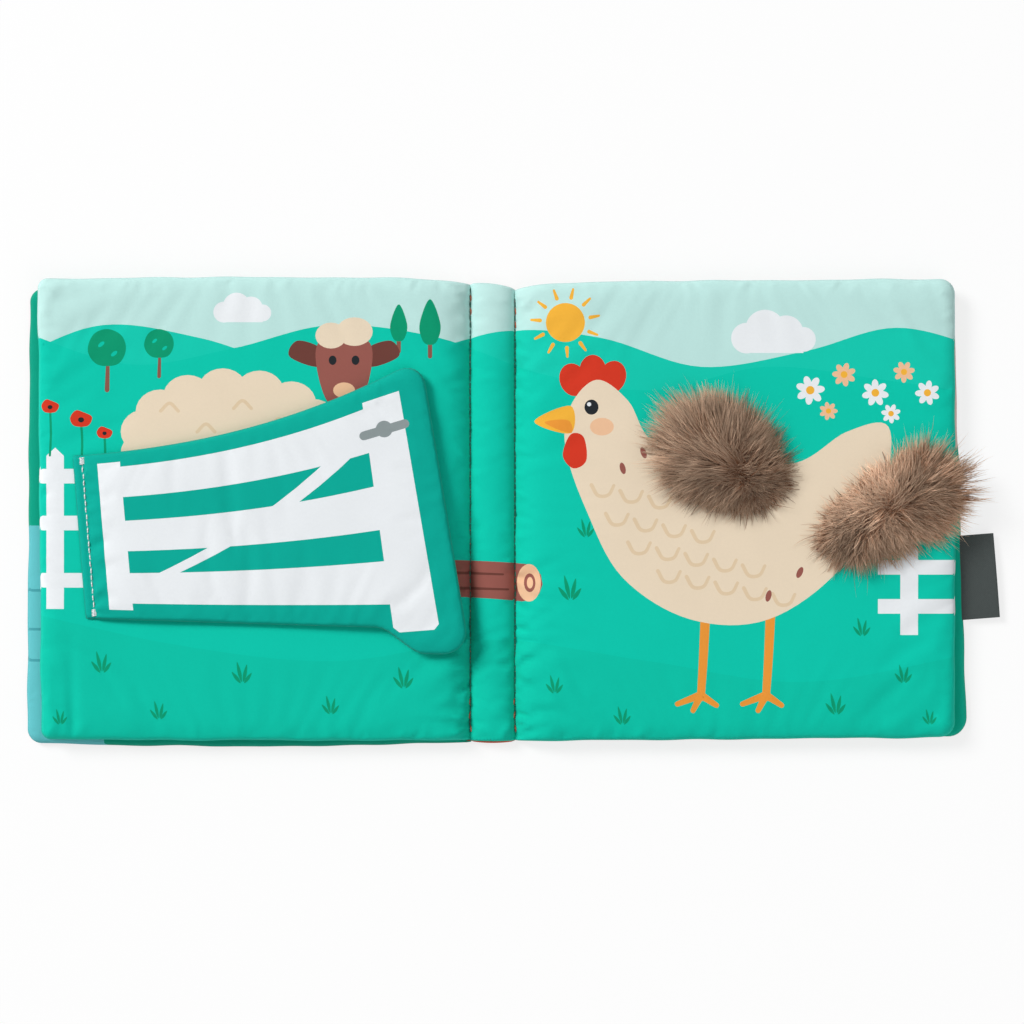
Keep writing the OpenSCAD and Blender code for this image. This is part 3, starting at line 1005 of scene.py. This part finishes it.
def stitch_dip(points, from_row, depth):
    """The cloth is drawn down at each stitch of a row and swells between them."""
    pull = 0.5 + 0.5 * np.cos(math.tau * points[:, 1] / STITCH_PITCH)
    return -np.exp(-((from_row / STITCH_REACH) ** 2)) * depth * (1 + pull)


def stitch_points(height, columns):
    """Extra mesh points beside a row of stitches."""
    y = np.arange(-height / 2, height / 2, STITCH_PITCH / 4)
    return np.vstack([np.stack([np.full(len(y), x), y], 1) for x in columns])


# Pages, covers and spine


def corner(centre, radius, first, last, count=9):
    a = np.radians(np.linspace(first, last, count))
    return centre + radius * np.stack([np.cos(a), np.sin(a)], 1)


def drawn_in(share, seam, outer, bow):
    """How far a long edge lies inside its leaf's full height, by its share of the way from the seam."""
    return mix(seam, outer, share) - bow * np.sin(math.pi * share)


def seam_drop(side):
    """How far the pages' tops lie below their full height at one seam."""
    return HALVES[side]["page_top"][0] + HALVES[side]["dip"]


def leaf_outline(half_book, leaf, height, dip, seed):
    """A right-hand page or cover, anticlockwise from the foot of its seam to the seam's top.

    Its edges waver a little, and its top dips towards the seam.
    """
    edge_x, lean, radius = (half_book[f"{leaf}_{key}"] for key in ("edge", "lean", "corner"))
    half = height / 2
    low = np.array([edge_x - lean * half - radius, -half + radius])
    high = np.array([edge_x + lean * half - radius, half - radius])
    turns = corner(low, radius, -90, 0), corner(high, radius, 0, 90)
    line = resample(np.vstack([[(SEAM_X, -half)], *turns, [(SEAM_X, half)]]), EDGE_STEP, closed=False)
    from_seam = line[:, 0] - SEAM_X
    share = np.clip(from_seam / (edge_x - SEAM_X), 0, 1)
    top = drawn_in(share, *half_book[f"{leaf}_top"]) + dip * np.exp(-from_seam / DROP_RUN)
    foot = drawn_in(share, *half_book[f"{leaf}_foot"])
    line[:, 1] *= 1 - np.where(line[:, 1] > 0, top, foot) / half
    random = np.random.default_rng(seed)
    run = np.linspace(0, math.tau, len(line))
    waver = sum(np.sin(k * run + random.uniform(0, math.tau)) for k in (7, 11, 16, 23)) / 4
    return inset(line, (EDGE_WAVER * waver * np.minimum(1, share * 8))[:, None])


def edge_distance(outline):
    """A function that gives each point's distance from the sewn outer edge, and not from the spine seam."""
    fine = resample(outline, RIM_STEP)
    free = fine[np.abs(seam_distance(fine)) > 0.6]
    return lambda points: distance_to(points, free)


def seam_distance(points):
    return np.abs(points[:, 0]) - SEAM_X


def seam_groove(points):
    return SEAM_GROOVE * np.exp(-((seam_distance(points) / 1.3) ** 2))


def page_heights(outline, half_book, side):
    seed = half_book["seed"]
    from_edge = edge_distance(outline)
    half = PAGE_H / 2
    under_z = COVER_TOP + LAYER_GAP
    edge_z = under_z + PAGE_EDGE_UP
    seam = side * SEAM_X
    folds = Wrinkles(seed)
    folds.along("page_seam", (seam, -half), (seam, half), (side, 0))
    folds.along("page_foot", (seam, -half), (seam, -half / 4), (side, 0))
    folds.along_rim("page_rim", side, side * half_book["page_edge"], half)
    if side < 0:
        # One deep crease beside the flap's hem, up from the page's foot
        folds.fold((-161, -half), (-162.5, -half * 0.43), width=2.6, height=-1.5)
    puckers = simulated_folds(outline, PAGE_SIM_STEP)

    def top(points):
        d = seam_distance(points)
        soft = fall(from_edge(points))
        crown = mix(edge_z + EDGE_T / 2, PAGE_TOP, soft)
        z = mix(SEAM_TOP, crown, rise(d, SEAM_RISE))
        uneven = ripple(points, seed, size=60, height=0.22) * soft * rise(d, 20)
        small = folds(points) * np.minimum(1, 0.25 + soft)
        small += PAGE_FOLDS * puckers(points) * soft * rise(d, 1.5)
        return z + uneven + small + stitch_dip(points, d, SEAM_DIP)

    def under(points):
        lens = mix(edge_z - EDGE_T / 2, under_z, fall(from_edge(points)))
        return mix(SEAM_T + LAYER_GAP, lens, rise(seam_distance(points), SEAM_RISE))

    return top, under


def cover_heights(outline, half_book, side):
    from_edge = edge_distance(outline)
    folds = Wrinkles(half_book["seed"] + 1)
    folds.along_rim("cover_rim", side, side * half_book["cover_edge"], COVER_H / 2)

    def top(points):
        crown = mix(COVER_EDGE_LIFT + EDGE_T, COVER_TOP, fall(from_edge(points)))
        z = mix(SEAM_T, crown, rise(seam_distance(points), SEAM_RISE))
        return z - COVER_SINK + np.minimum(0, folds(points))

    def under(points):
        lifted = COVER_EDGE_LIFT * (1 - fall(from_edge(points), COVER_FALL))
        return lifted + seam_groove(points) + np.abs(folds(points)) * 0.5

    return top, under


def make_leaves():
    """The pages and covers: padded leaves on both sides of the spine."""
    seam_points = stitch_points(PAGE_H, SEAM_COLUMNS)
    leaves = (
        ("page", PAGE_H, 0.0, 0, page_heights, (PRINT, "sky", "hill", PAGE_STEP, seam_points)),
        ("cover", COVER_H, COVER_DROP, 2, cover_heights,
         (INNER_COVER_PRINT, "cover_green", "outer_cover", COVER_STEP)),
    )
    for side, half_book in HALVES.items():
        for leaf, height, more_dip, more_seed, heights, look in leaves:
            dip, seed = half_book["dip"] + more_dip, half_book["seed"] + more_seed
            outline = leaf_outline(half_book, leaf, height, dip, seed)
            if side < 0:
                outline = outline[::-1] * (-1, 1)
            name = half_book[leaf]
            made = padded_piece(f"{name}_pad", outline, *heights(outline, half_book, side), *look)
            start, end = ((side * x * MM, 0, 0) for x in (SEAM_X, SEAM_X + LEAF_BEND))
            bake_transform(made)
            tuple(start)
            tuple(end)
            settle(made, f"{leaf}_cloth", name, fill=PAD_FILL)


def channel(points):
    """Share of the spine's full padding across its width."""
    x = np.abs(points[:, 0])
    return rise(SEAM_X - x, SPINE_RISE) * rise(SEAM_X + x, SPINE_RISE) / rise(SEAM_X, SPINE_RISE) ** 2


def spine_outline(height, swell_top, swell_foot):
    """The spine between its seams. Its ends swell out, and its top dips as the pages' tops do."""
    x = np.linspace(-SEAM_X, SEAM_X, 14)
    bulge = np.sqrt(np.abs(np.cos(x / SEAM_X * math.pi / 2)))
    dip = mix(seam_drop(-1), seam_drop(1), (x / SEAM_X + 1) / 2)
    foot = np.stack([x, -height / 2 - swell_foot * bulge], 1)
    head = np.stack([x, height / 2 - dip + swell_top * bulge], 1)
    return np.vstack([foot, head[::-1]])


def make_spine():
    half = PAGE_H / 2
    folds = Wrinkles(seed=5)
    for side in (-1, 1):
        seam = side * SEAM_X
        folds.along("spine_seam", (seam, -half), (seam, half), (-side, 0))
        folds.along("spine_foot", (seam, -half), (seam, -half / 2), (-side, 0))
    strip = spine_outline(PAGE_H, swell_top=1.3, swell_foot=0.2)
    cover = spine_outline(COVER_H - 0.8, swell_top=-0.6, swell_foot=1.0)

    def strip_top(points):
        d = seam_distance(points)
        soft = fall(distance_to(points, strip), STRIP_FALL)
        z = mix(SEAM_TOP, STRIP_HIGH[2], channel(points) * (0.55 + 0.45 * soft))
        return z + folds(points) * rise(-d, 2.0) + stitch_dip(points, d, SEAM_DIP)

    def strip_under(points):
        return mix(SEAM_T + LAYER_GAP, SPINE_TOP + LAYER_GAP, channel(points))

    def cover_top(points):
        return mix(SEAM_T, SPINE_TOP, channel(points)) - COVER_SINK

    look = PRINT, "sky", "hill", STRIP_STEP, stitch_points(PAGE_H, SEAM_COLUMNS)
    made = padded_piece("spine_strip_pad", strip, strip_top, strip_under, *look)
    settle(made, "page_cloth", "spine_strip", body="spine", fill=PAD_FILL)
    look = [], "outer_cover", "outer_cover", PLAIN_STEP
    made = padded_piece("spine_cover_pad", cover, cover_top, seam_groove, *look)
    settle(made, "cover_cloth", "spine_cover", body="spine", fill=PAD_FILL)


# The gate flap


def ease(v):
    c = np.clip(v, 0, 1)
    return c * c * (3 - 2 * c)


def corner_cut(d):
    r = FLAP_CORNER_R
    return r - np.sqrt(r * r - (r - np.clip(FLAP_LEN - d, 0, r)) ** 2)


def gate_foot(d):
    return -FLAP_H / 2 - FLAP_GROW_BOTTOM * d / FLAP_LEN


def flap_top_edge(d):
    return FLAP_H / 2 + FLAP_GROW_TOP * (np.maximum(d, 0) / FLAP_LEN) ** 2.2 - corner_cut(d)


def flap_bottom_edge(d):
    return gate_foot(d) - POST_FOOT * ease((d - FLAP_LEN + POST_FOOT_W) / POST_FOOT_RUN) + corner_cut(d)


def flap_outline():
    """The flap's edge, in distances along it from its stitches and heights."""
    fine = FLAP_LEN - FLAP_CORNER_R * (1 - np.sin(np.linspace(0, math.pi / 2, 9)))
    d = np.concatenate([[-HEM_W], np.linspace(0, FLAP_LEN - FLAP_CORNER_R - 1, 60), fine])
    y = np.concatenate([flap_bottom_edge(d), flap_top_edge(d[::-1])])
    d = np.concatenate([d, d[::-1]])
    return np.stack([d - FLAP_LEAN * y * np.clip(d / FLAP_LEN, 0, 1), y], 1)


def gate_point(d, y):
    """A point of the printed gate, from its distance along the flap and its height."""
    return np.stack([d - FLAP_LEAN * y * d / FLAP_LEN, y], -1)


def gate_height(d, share):
    """A share of the gate's height, from its straight foot to the flap's top edge."""
    return mix(gate_foot(d), flap_top_edge(d), share)


def rail(low, high, start, end):
    d = np.linspace(start, end, 16)
    return np.vstack([gate_point(d, gate_height(d, low)), gate_point(d, gate_height(d, high))[::-1]])


def flap_print():
    """A plain white gate: rails, two posts, a slanting brace and a round latch."""
    rails = [("white", rail(low, high, 9, 118)) for low, high in ((0.1, 0.28), (0.41, 0.59), (0.73, 0.91))]
    d = np.linspace(18, 112, 12)
    height = gate_height(d, np.linspace(0.2, 0.82, 12))
    brace = ("white", np.vstack([gate_point(d - 4.5, height), gate_point(d + 4.5, height)[::-1]]))
    foot, head = flap_bottom_edge(115.0) + 5.5, flap_top_edge(118.0) - 4.5
    post = [(111, foot + 2), (113, foot), (126, foot), (128, foot + 2), (127, head), (112, head - 3.5)]
    posts = [("white", rail(0.06, 0.94, 6, 15)), ("white", gate_point(*np.array(post).T))]
    latch = [("grey", stroke([(-9, -2.0), (7, 1.4)], 3.4)), ("grey", ellipse(-1, 0, 3.2, 3.2))]
    return [*rails, brace, *posts, *moved(latch, *gate_point(120.0, gate_height(120.0, 0.8)))]


def make_flap():
    outline = inset(flap_outline(), FLAP_ROLL)
    fine = resample(outline, RIM_STEP)
    folds = Wrinkles(seed=31)
    folds.along("flap_hem", (0, -FLAP_H / 2), (0, FLAP_H / 2), (1, 0))
    folds.along("flap_rim", (10, -33), (104, -42), (0, 1))
    folds.along("flap_rim", (10, 32), (118, 50), (0, -1))
    folds.along("flap_end", (134, 44), (141, -44), (-1, 0))
    puckers = simulated_folds(outline, FLAP_SIM_STEP)

    def lifted(points):
        return FLAP_LIFT * np.clip(points[:, 0] / FLAP_LEN, 0, 1)

    def top(points):
        x = points[:, 0]
        gap = distance_to(points, fine)
        soft = fall(gap, FLAP_FALL)
        pad = mix(HEM_T, mix(FLAP_EDGE_UP + 1.0, FLAP_T, soft), rise(x, FLAP_RISE))
        hem = np.where(x < 0, (fall(gap, 1.6) - 1) * 0.5, 0)
        uneven = ripple(points, seed=9, size=42, height=0.18) * soft * rise(x, 12)
        small = folds(points) * np.minimum(1, 0.2 + soft)
        small += FLAP_FOLDS * puckers(points) * soft * rise(x, 1.5)
        return lifted(points) + pad + stitch_dip(points, x, HEM_DIP) + hem + uneven + small

    def under(points):
        soft = fall(distance_to(points, fine), FLAP_FALL)
        return lifted(points) + rise(points[:, 0], FLAP_RISE) * (1 - soft) * (FLAP_EDGE_UP - 1.0)

    def place(points, heights):
        flat = FLAP_HINGE[:2] + points[:, :1] * FLAP_ACROSS[:2] + points[:, 1:] * FLAP_UP[:2]
        return np.column_stack([flat, heights + HEM_LOW[2]])

    look = flap_print(), "flap_teal", "flap_teal", FLAP_STEP, stitch_points(FLAP_H, HEM_COLUMNS)
    made = padded_piece("gate_flap_pad", outline, top, under, *look, place, FLAP_ROLL)
    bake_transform(made)
    settle(made, "flap_cloth", "gate_flap", "flap_hem", fill=PAD_FILL)


# Thread


def tube(path, radii, sides=8):
    """A closed tube along a path: points, triangles and flat coordinates."""
    along = unit(np.gradient(path, axis=0))
    side = np.cross(along, (0.0, 0.0, 1.0))
    upright = np.linalg.norm(side, axis=1) < 0.2
    side[upright] = np.cross(along[upright], (1.0, 0.0, 0.0))
    side = unit(side)
    up = np.cross(side, along)
    a = np.linspace(0, math.tau, sides, endpoint=False)
    ring = np.cos(a)[:, None] * side[:, None] + np.sin(a)[:, None] * up[:, None]
    verts = (path[:, None] + ring * radii[:, None, None]).reshape(-1, 3)
    flat = np.stack([np.repeat(run_length(path), sides), np.tile(a / math.tau, len(path))], 1)
    cap = np.array([(0, j + 1, j) for j in range(1, sides - 1)])
    far_cap = cap[:, ::-1] + len(verts) - sides
    return verts, np.vstack([skin(len(path), sides), cap, far_cap]), flat


def stitch(start, end, radius, arch, sink):
    """One stitch: a thread that comes up through the cloth, lies over it and goes down again."""
    t = np.linspace(0, 1, 9)
    path = np.array(start) + np.subtract(end, start) * t[:, None]
    path[:, 2] += arch * np.sin(math.pi * t) - sink * (2 * t - 1) ** 6
    return tube(path, radius * (0.75 + 0.25 * np.sin(math.pi * t)))


def thread_object(name, runs):
    """One object from many threads. Each run is a tube and its colour's name."""
    verts, tris, flat, colour, count = [], [], [], [], 0
    for (v, t, f), thread in runs:
        verts.append(v)
        tris.append(t + count)
        flat.append(f)
        colour.append(np.full(len(t), NUMBER[thread]))
        count += len(v)
    return make_object(name, np.vstack(verts), np.vstack(tris), np.concatenate(colour), np.vstack(flat))


def make_spine_stitches():
    """Green stitches above and rust ones below, whose knots show between, with back-tacks at both ends."""
    top = SEAM_TOP - SEAM_SINK
    for name, side in (("left_spine", -1), ("right_spine", 1)):
        random = np.random.default_rng(seed=40 + side)
        foot, head = SEAM_END - PAGE_H / 2, PAGE_H / 2 - seam_drop(side) - SEAM_END
        runs = []

        def sew(thread, x, end_x, y, z, form):
            half, *shape = form
            runs.append((stitch((x, y - half, z), (end_x, y + half, z), *shape), thread))

        for k in range(math.ceil(foot / STITCH_PITCH), math.floor(head / STITCH_PITCH)):
            y = (k + 0.5) * STITCH_PITCH
            x = side * SEAM_X + random.normal(0, 0.06)
            sew("green_thread", x, x + random.normal(0, 0.07), y, top, GREEN_STITCH)
            tacked = min(y - foot, head - y) < BACK_TACK_RUN
            if tacked or random.random() < 0.4:
                sew("rust_thread", x, x, y + STITCH_PITCH / 2, top - KNOT_SINK, KNOT)
            if tacked and k % 2:
                shift = random.choice((-1, 1)) * 0.45
                sew("rust_thread", x + shift, x + shift * 0.4, y, top + TACK_LIFT, BACK_TACK)
            sew("rust_thread", x, x, y, UNDER_Z, UNDER_STITCH)
        settle(thread_object(f"{name}_thread", runs), "green_thread", f"{name}_stitches", body="spine")


def make_flap_stitches():
    """A row of white stitches along the flap's hem, with a bar-tack at each end."""
    count = int((FLAP_H - 3.0) / STITCH_PITCH)
    random = np.random.default_rng(seed=51)
    origin = np.array([*FLAP_HINGE[:2], HEM_HIGH[2] - HEM_SINK])
    runs = []

    def sew(ends, form):
        start, end = (origin + FLAP_UP * y + FLAP_ACROSS * x for x, y in ends)
        runs.append((stitch(start, end, *form[1:]), "white_thread"))

    for k in range(count):
        y = (k - (count - 1) / 2) * STITCH_PITCH
        lean = random.normal(0, 0.08, 2)
        sew(((lean[0], y - FLAP_STITCH[0]), (lean[1], y + FLAP_STITCH[0])), FLAP_STITCH)
    for end in (-1, 1):
        for k in range(5):
            y = end * (FLAP_H / 2 - 1.2 - 0.55 * k)
            half = BAR_TACK[0] + 0.2 * random.random()
            sew(((-half, y), (half, y + 0.2)), BAR_TACK)
    settle(thread_object("flap_thread", runs), "white_thread", "flap_stitches", body="front_half")


# Woven label


def make_label():
    """A ribbon folded back on itself, a little bowed, with both ends in the cover's edge."""
    thick = LABEL_HIGH[2] - LABEL_LOW[2]
    middle = (LABEL_LOW + LABEL_HIGH) / 2
    edge = HALVES[1]["cover_edge"] + HALVES[1]["cover_lean"] * middle[1]
    root = np.array([edge - LABEL_TUCK, middle[1] - LABEL_DROP, middle[2]])
    half = (thick - LABEL_T) / 2
    straight = np.linspace(0, LABEL_REACH + LABEL_TUCK - thick / 2, 14)
    fold = np.linspace(-math.pi / 2, math.pi / 2, 9)
    run_out, run_back = straight[:-1], straight[-2::-1]
    line = np.vstack([
        with_heights(run_out, np.full_like(run_out, -half)),
        with_heights(straight[-1] + np.cos(fold) * half, half * np.sin(fold)),
        with_heights(run_back, np.full_like(run_back, half)),
    ])
    side = left_of(unit(np.gradient(line, axis=0))) * LABEL_T / 2
    section = np.vstack([line - side, (line + side)[::-1]])
    run = run_length(line)
    rows = np.linspace(-LABEL_W / 2, LABEL_W / 2, 40)
    c, s = math.cos(LABEL_TURN), math.sin(LABEL_TURN)
    verts, flat = [], []
    for y in rows:
        x, z = section.T
        bow = LABEL_BOW * (x / LABEL_REACH) ** 2 * math.cos(y / LABEL_W * math.pi * 0.8)
        verts.append(root + np.stack([x * c - y * s, x * s + y * c, z + bow], 1))
        flat.append(np.stack([np.concatenate([run, run[::-1]]), np.full(len(section), y)], 1))
    n = len(section)
    j = np.arange(len(line) - 1)
    near_end = np.vstack([np.stack([j, n - 2 - j, j + 1], 1), np.stack([j, n - 1 - j, n - 2 - j], 1)])
    far_end = near_end[:, ::-1] + (len(rows) - 1) * n
    tris = np.vstack([skin(len(rows), n), near_end, far_end])
    colour = np.full(len(tris), NUMBER["label"])
    made = make_object("woven_label_ribbon", np.vstack(verts), tris, colour, np.vstack(flat))
    made.data.set_sharp_from_angle(angle=math.radians(50))
    settle(made, "label_ribbon", "woven_label", body="back_half")


# Fur


def grow_locks(random, line, spread, reach):
    """The locks' middle lines, which start on the sewn patch, rise, and fall over away from its parting.

    With them come each lock's share of the way along the parting, and its distance from the parting as a
    share of the patch's half width.
    """
    share = random.random(FUR_LOCKS)
    foot = np.stack([np.interp(share * (len(line) - 1), np.arange(len(line)), line[:, k]) for k in (0, 1)], 1)
    angle = random.uniform(0, math.tau, FUR_LOCKS)
    out = np.sqrt(random.random(FUR_LOCKS))
    way = np.stack([np.cos(angle), np.sin(angle)], 1)
    root = foot + way * (out * mix(*spread, share))[:, None]
    away = root - line.mean(0)
    away /= np.linalg.norm(away, axis=1)[:, None] + 2.0
    heading = unit(away + 0.7 * way + random.normal(0, 0.32, way.shape))
    step = reach(heading, share) * random.triangular(0.72, 0.96, 1.04, FUR_LOCKS) / (FUR_JOINTS - 1)
    lean = np.radians(np.clip(68 - 42 * out + random.normal(0, 12, FUR_LOCKS), 8, 84))
    drop = np.radians(random.uniform(40, 85, FUR_LOCKS))
    locks = np.zeros((FUR_LOCKS, FUR_JOINTS, 3))
    locks[:, 0, :2] = root
    for j in range(1, FUR_JOINTS):
        tilt = lean - drop * ((j - 0.5) / (FUR_JOINTS - 1)) ** 1.3
        move = np.column_stack([heading * np.cos(tilt)[:, None], np.sin(tilt)])
        locks[:, j] = locks[:, j - 1] + move * step[:, None]
    return locks, share, out


def grow_fibres(random, locks, pile):
    """Fibres about their locks' middle lines, with each fibre's own place in its lock.

    They gather or fan out towards the lock's tip, stray from it and curl. Their heights ease off towards the
    pile's.
    """
    count = len(locks) * FUR_FIBRES
    along = np.linspace(0, 1, FUR_JOINTS)[:, None]
    lock = np.repeat(locks, FUR_FIBRES, 0)
    size = random.triangular(0.6, 0.94, 1.06, (count, 1, 1))
    place = random.normal(0, LOCK_SPREAD, (count, 1, 3)) * (1, 1, 0.3)
    gather = random.uniform(-0.5, 0.35, (count, 1, 1))
    stray = random.normal(0, 1.4, (count, 1, 3)) * along**2
    curl = random.normal(0, 0.35, (count, 1, 3))
    curl = curl * np.sin(5 * along + random.uniform(0, math.tau, (count, 1, 1)))
    aside = place * (1 - gather * along) + stray + curl * along
    fibres = lock[:, :1] + (lock - lock[:, :1]) * size + aside
    fibres[..., 2] = PAGE_TOP - 0.3 + pile * (1 - np.exp(-np.maximum(fibres[..., 2], 0) / pile))
    return fibres, aside


def fur_tuft(name, parting, spread, pile, reach, tone, seed):
    """Long fibres in locks that part along a line of points.

    spread is the sewn patch's half width at its two ends. reach gives a lock's length from its heading and
    its share of the way along the parting, and tone lightens or darkens the tuft at the parting's two ends,
    partly as the fur's own colour and partly as painted light where the tail's far end turns from the lamp.
    """
    random = np.random.default_rng(seed)
    line = smooth_line(parting, 12)
    locks, share, out = grow_locks(random, line, spread, reach)
    fibres, aside = grow_fibres(random, locks, pile)
    strands = len(fibres)
    outward = unit(fibres - (*line.mean(0), PAGE_TOP - FUR_DEPTH))
    facing = outward + random.normal(0, 0.45, (strands, 1, 3))
    side = unit(np.cross(unit(np.gradient(fibres, axis=1)), facing))
    width = random.uniform(0.07, 0.14, (strands, 1, 1)) * np.array(FIBRE_SHAPE)[:, None]

    def by_vertex(left, right):
        """Values at each fibre's left side, right side and tip, where the two sides meet."""
        return np.concatenate([left[:, :-1], right], 1).reshape(-1, *left.shape[2:])

    verts = by_vertex(fibres + side * width, fibres - side * width)
    per = 2 * FUR_JOINTS - 1
    own = [(FUR_JOINTS - 2, per - 1, per - 2)]
    for j in range(FUR_JOINTS - 2):
        own += [(j, j + 1, j + FUR_JOINTS), (j, j + FUR_JOINTS, j + FUR_JOINTS - 1)]
    tris = (np.arange(strands)[:, None, None] * per + np.array(own)).reshape(-1, 3)
    made = make_object(f"{name}_pile", verts, tris, np.full(len(tris), NUMBER["fur"]), verts[:, :2])
    along = np.tile(np.linspace(0, 1, FUR_JOINTS), (strands, 1))
    # Each lock's tone: random, times the tuft's tone along the parting, times painted shade at the parting
    # and painted light at the patch's rim
    lock_tone_and_painted_light = random.normal(1.0, 0.13, FUR_LOCKS) * mix(*tone, share) * mix(*PARTING_SHADE_TO_RIM_LIGHT, out)
    fibre_tone_and_painted_light = np.clip(np.repeat(lock_tone_and_painted_light, FUR_FIBRES) * random.normal(1.0, 0.12, strands), 0.5, 2.0)
    for key, values in (("along", by_vertex(along, along)), ("tone", np.repeat(fibre_tone_and_painted_light, per))):
        layer = made.data.attributes.new(key, "FLOAT", "POINT")
        layer.data.foreach_set("value", values.astype(np.float32))
    normals = unit(outward + aside * 0.22)
    made.data.normals_split_custom_set_from_vertices(by_vertex(normals, normals))
    return made


def fur_backing(name, parting, spread):
    """The cloth patch that carries the fibres."""
    outline = stroke(smooth_line(parting, 8), 2 * spread)
    if np.sum(np.cross(outline, np.roll(outline, -1, 0))) < 0:
        outline = outline[::-1]
    rim = resample(outline, FINE_STEP)

    def top(points):
        return PAGE_TOP + 0.25 + 1.6 * fall(distance_to(points, rim), spread)

    def under(points):
        return np.full(len(points), PAGE_TOP - 0.6)

    return padded_piece(f"{name}_backing", outline, top, under, [], "fur_backing", "fur_backing", PLAIN_STEP)


def make_fur():
    def mane_reach(way, share):
        return 19 + 9 * (way[:, 1] * 0.8 - way[:, 0] * 0.6) - 3 * share

    def tail_reach(way, share):
        waist = 2.5 * np.sin(math.pi * share)
        return 12.5 + 5.5 * share - waist + (3 * way[:, 0] - 4 * way[:, 1]) * (1 - share)

    # The tail's far end is lightened up to 1.5 times, partly as painted light where it turns away from the
    # lamp
    tufts = (
        ("fur_mane", [(82, 21), (92, 16), (101, 10)], (8.0, 7.0), MANE_TOP, mane_reach, (0.9, 0.95), 61),
        ("fur_tail", [(136, -9), (150, -1), (166, 9)], (6.0, 9.5), TAIL_TOP, tail_reach, (0.98, 1.5), 62),
    )
    for name, parting, spread, top, *form in tufts:
        made = fur_tuft(name, parting, spread, (top - PAGE_TOP) * FUR_LOFT, *form)
        settle(made, "fur", name, body="back_half")
        settle(fur_backing(name, parting, min(spread)), "fur", body="back_half", fill=BACKING_FILL)


# Studio


def seen_rays(shader):
    """One where a ray comes from the camera, off a gloss or through glass, and nothing elsewhere."""
    kinds = ("Is Camera Ray", "Is Glossy Ray", "Is Transmission Ray")
    camera, gloss, glass = (shader.add("ShaderNodeLightPath", {}, kind) for kind in kinds)
    return shader.math("MAXIMUM", shader.math("MAXIMUM", camera, gloss), glass)


def make_floor():
    """A pale floor that keeps the book's shadow, and shows partly as plain white."""
    shader = Shader(bpy.data.materials.new("floor"))
    place = shader.add("ShaderNodeTexCoord", {}, "Object")
    tone = shader.mix(shader.noise(place, 3.0), (0.96, 0.96, 0.96, 1), (0.98, 0.98, 0.98, 1))
    shader.surface({"Base Color": tone, "Roughness": 0.9})
    share = shader.math("MULTIPLY", seen_rays(shader), FLOOR_WHITE)
    lit = shader.nodes["Principled BSDF"].outputs[0]
    white = shader.add("ShaderNodeEmission", {})
    shown = shader.add("ShaderNodeMixShader", {0: share, 1: lit, 2: white})
    shader.feed(shader.nodes["Material Output"], {"Surface": shown})
    bpy.ops.mesh.primitive_plane_add(size=8, location=(0, 0, -0.0002))
    floor = bpy.context.object
    floor.name = "studio_floor"
    floor.data.materials.append(shader.owner)


def make_lights():
    shader = Shader(bpy.data.worlds.new("studio"))
    bpy.context.scene.world = shader.owner
    level = shader.add("ShaderNodeMapRange", {"Value": seen_rays(shader), "To Min": WORLD_LIGHT}, "Result")
    shader.feed(shader.nodes["Background"], {"Color": (1, 1, 1, 1), "Strength": level})
    for name, place, size, power in LAMPS:
        lamp = bpy.data.lights.new(name, "AREA")
        lamp.size = size
        lamp.energy = power
        made = add_object(name, lamp)
        made.location = place
        made.rotation_euler = (-Vector(place)).to_track_quat("-Z", "Y").to_euler()


def make_camera():
    """Straight down on the spread, at the photograph's scale."""
    data = bpy.data.cameras.new("camera")
    data.lens = LENS
    data.sensor_width = SENSOR
    high = IMAGE_PX * MM_PER_PX * LENS / SENSOR
    x = (IMAGE_PX / 2 - ORIGIN_PX[0]) * MM_PER_PX
    y = (ORIGIN_PX[1] - IMAGE_PX / 2) * MM_PER_PX
    made = add_object("camera", data)
    made.location = (x * MM, y * MM, (high + PAGE_TOP) * MM)
    bpy.context.scene.camera = made


make_camera()
make_lights()
make_floor()
make_leaves()
make_spine()
make_flap()
make_spine_stitches()
make_flap_stitches()
make_label()
make_fur()

bpy.context.scene.view_settings.view_transform = "Standard"
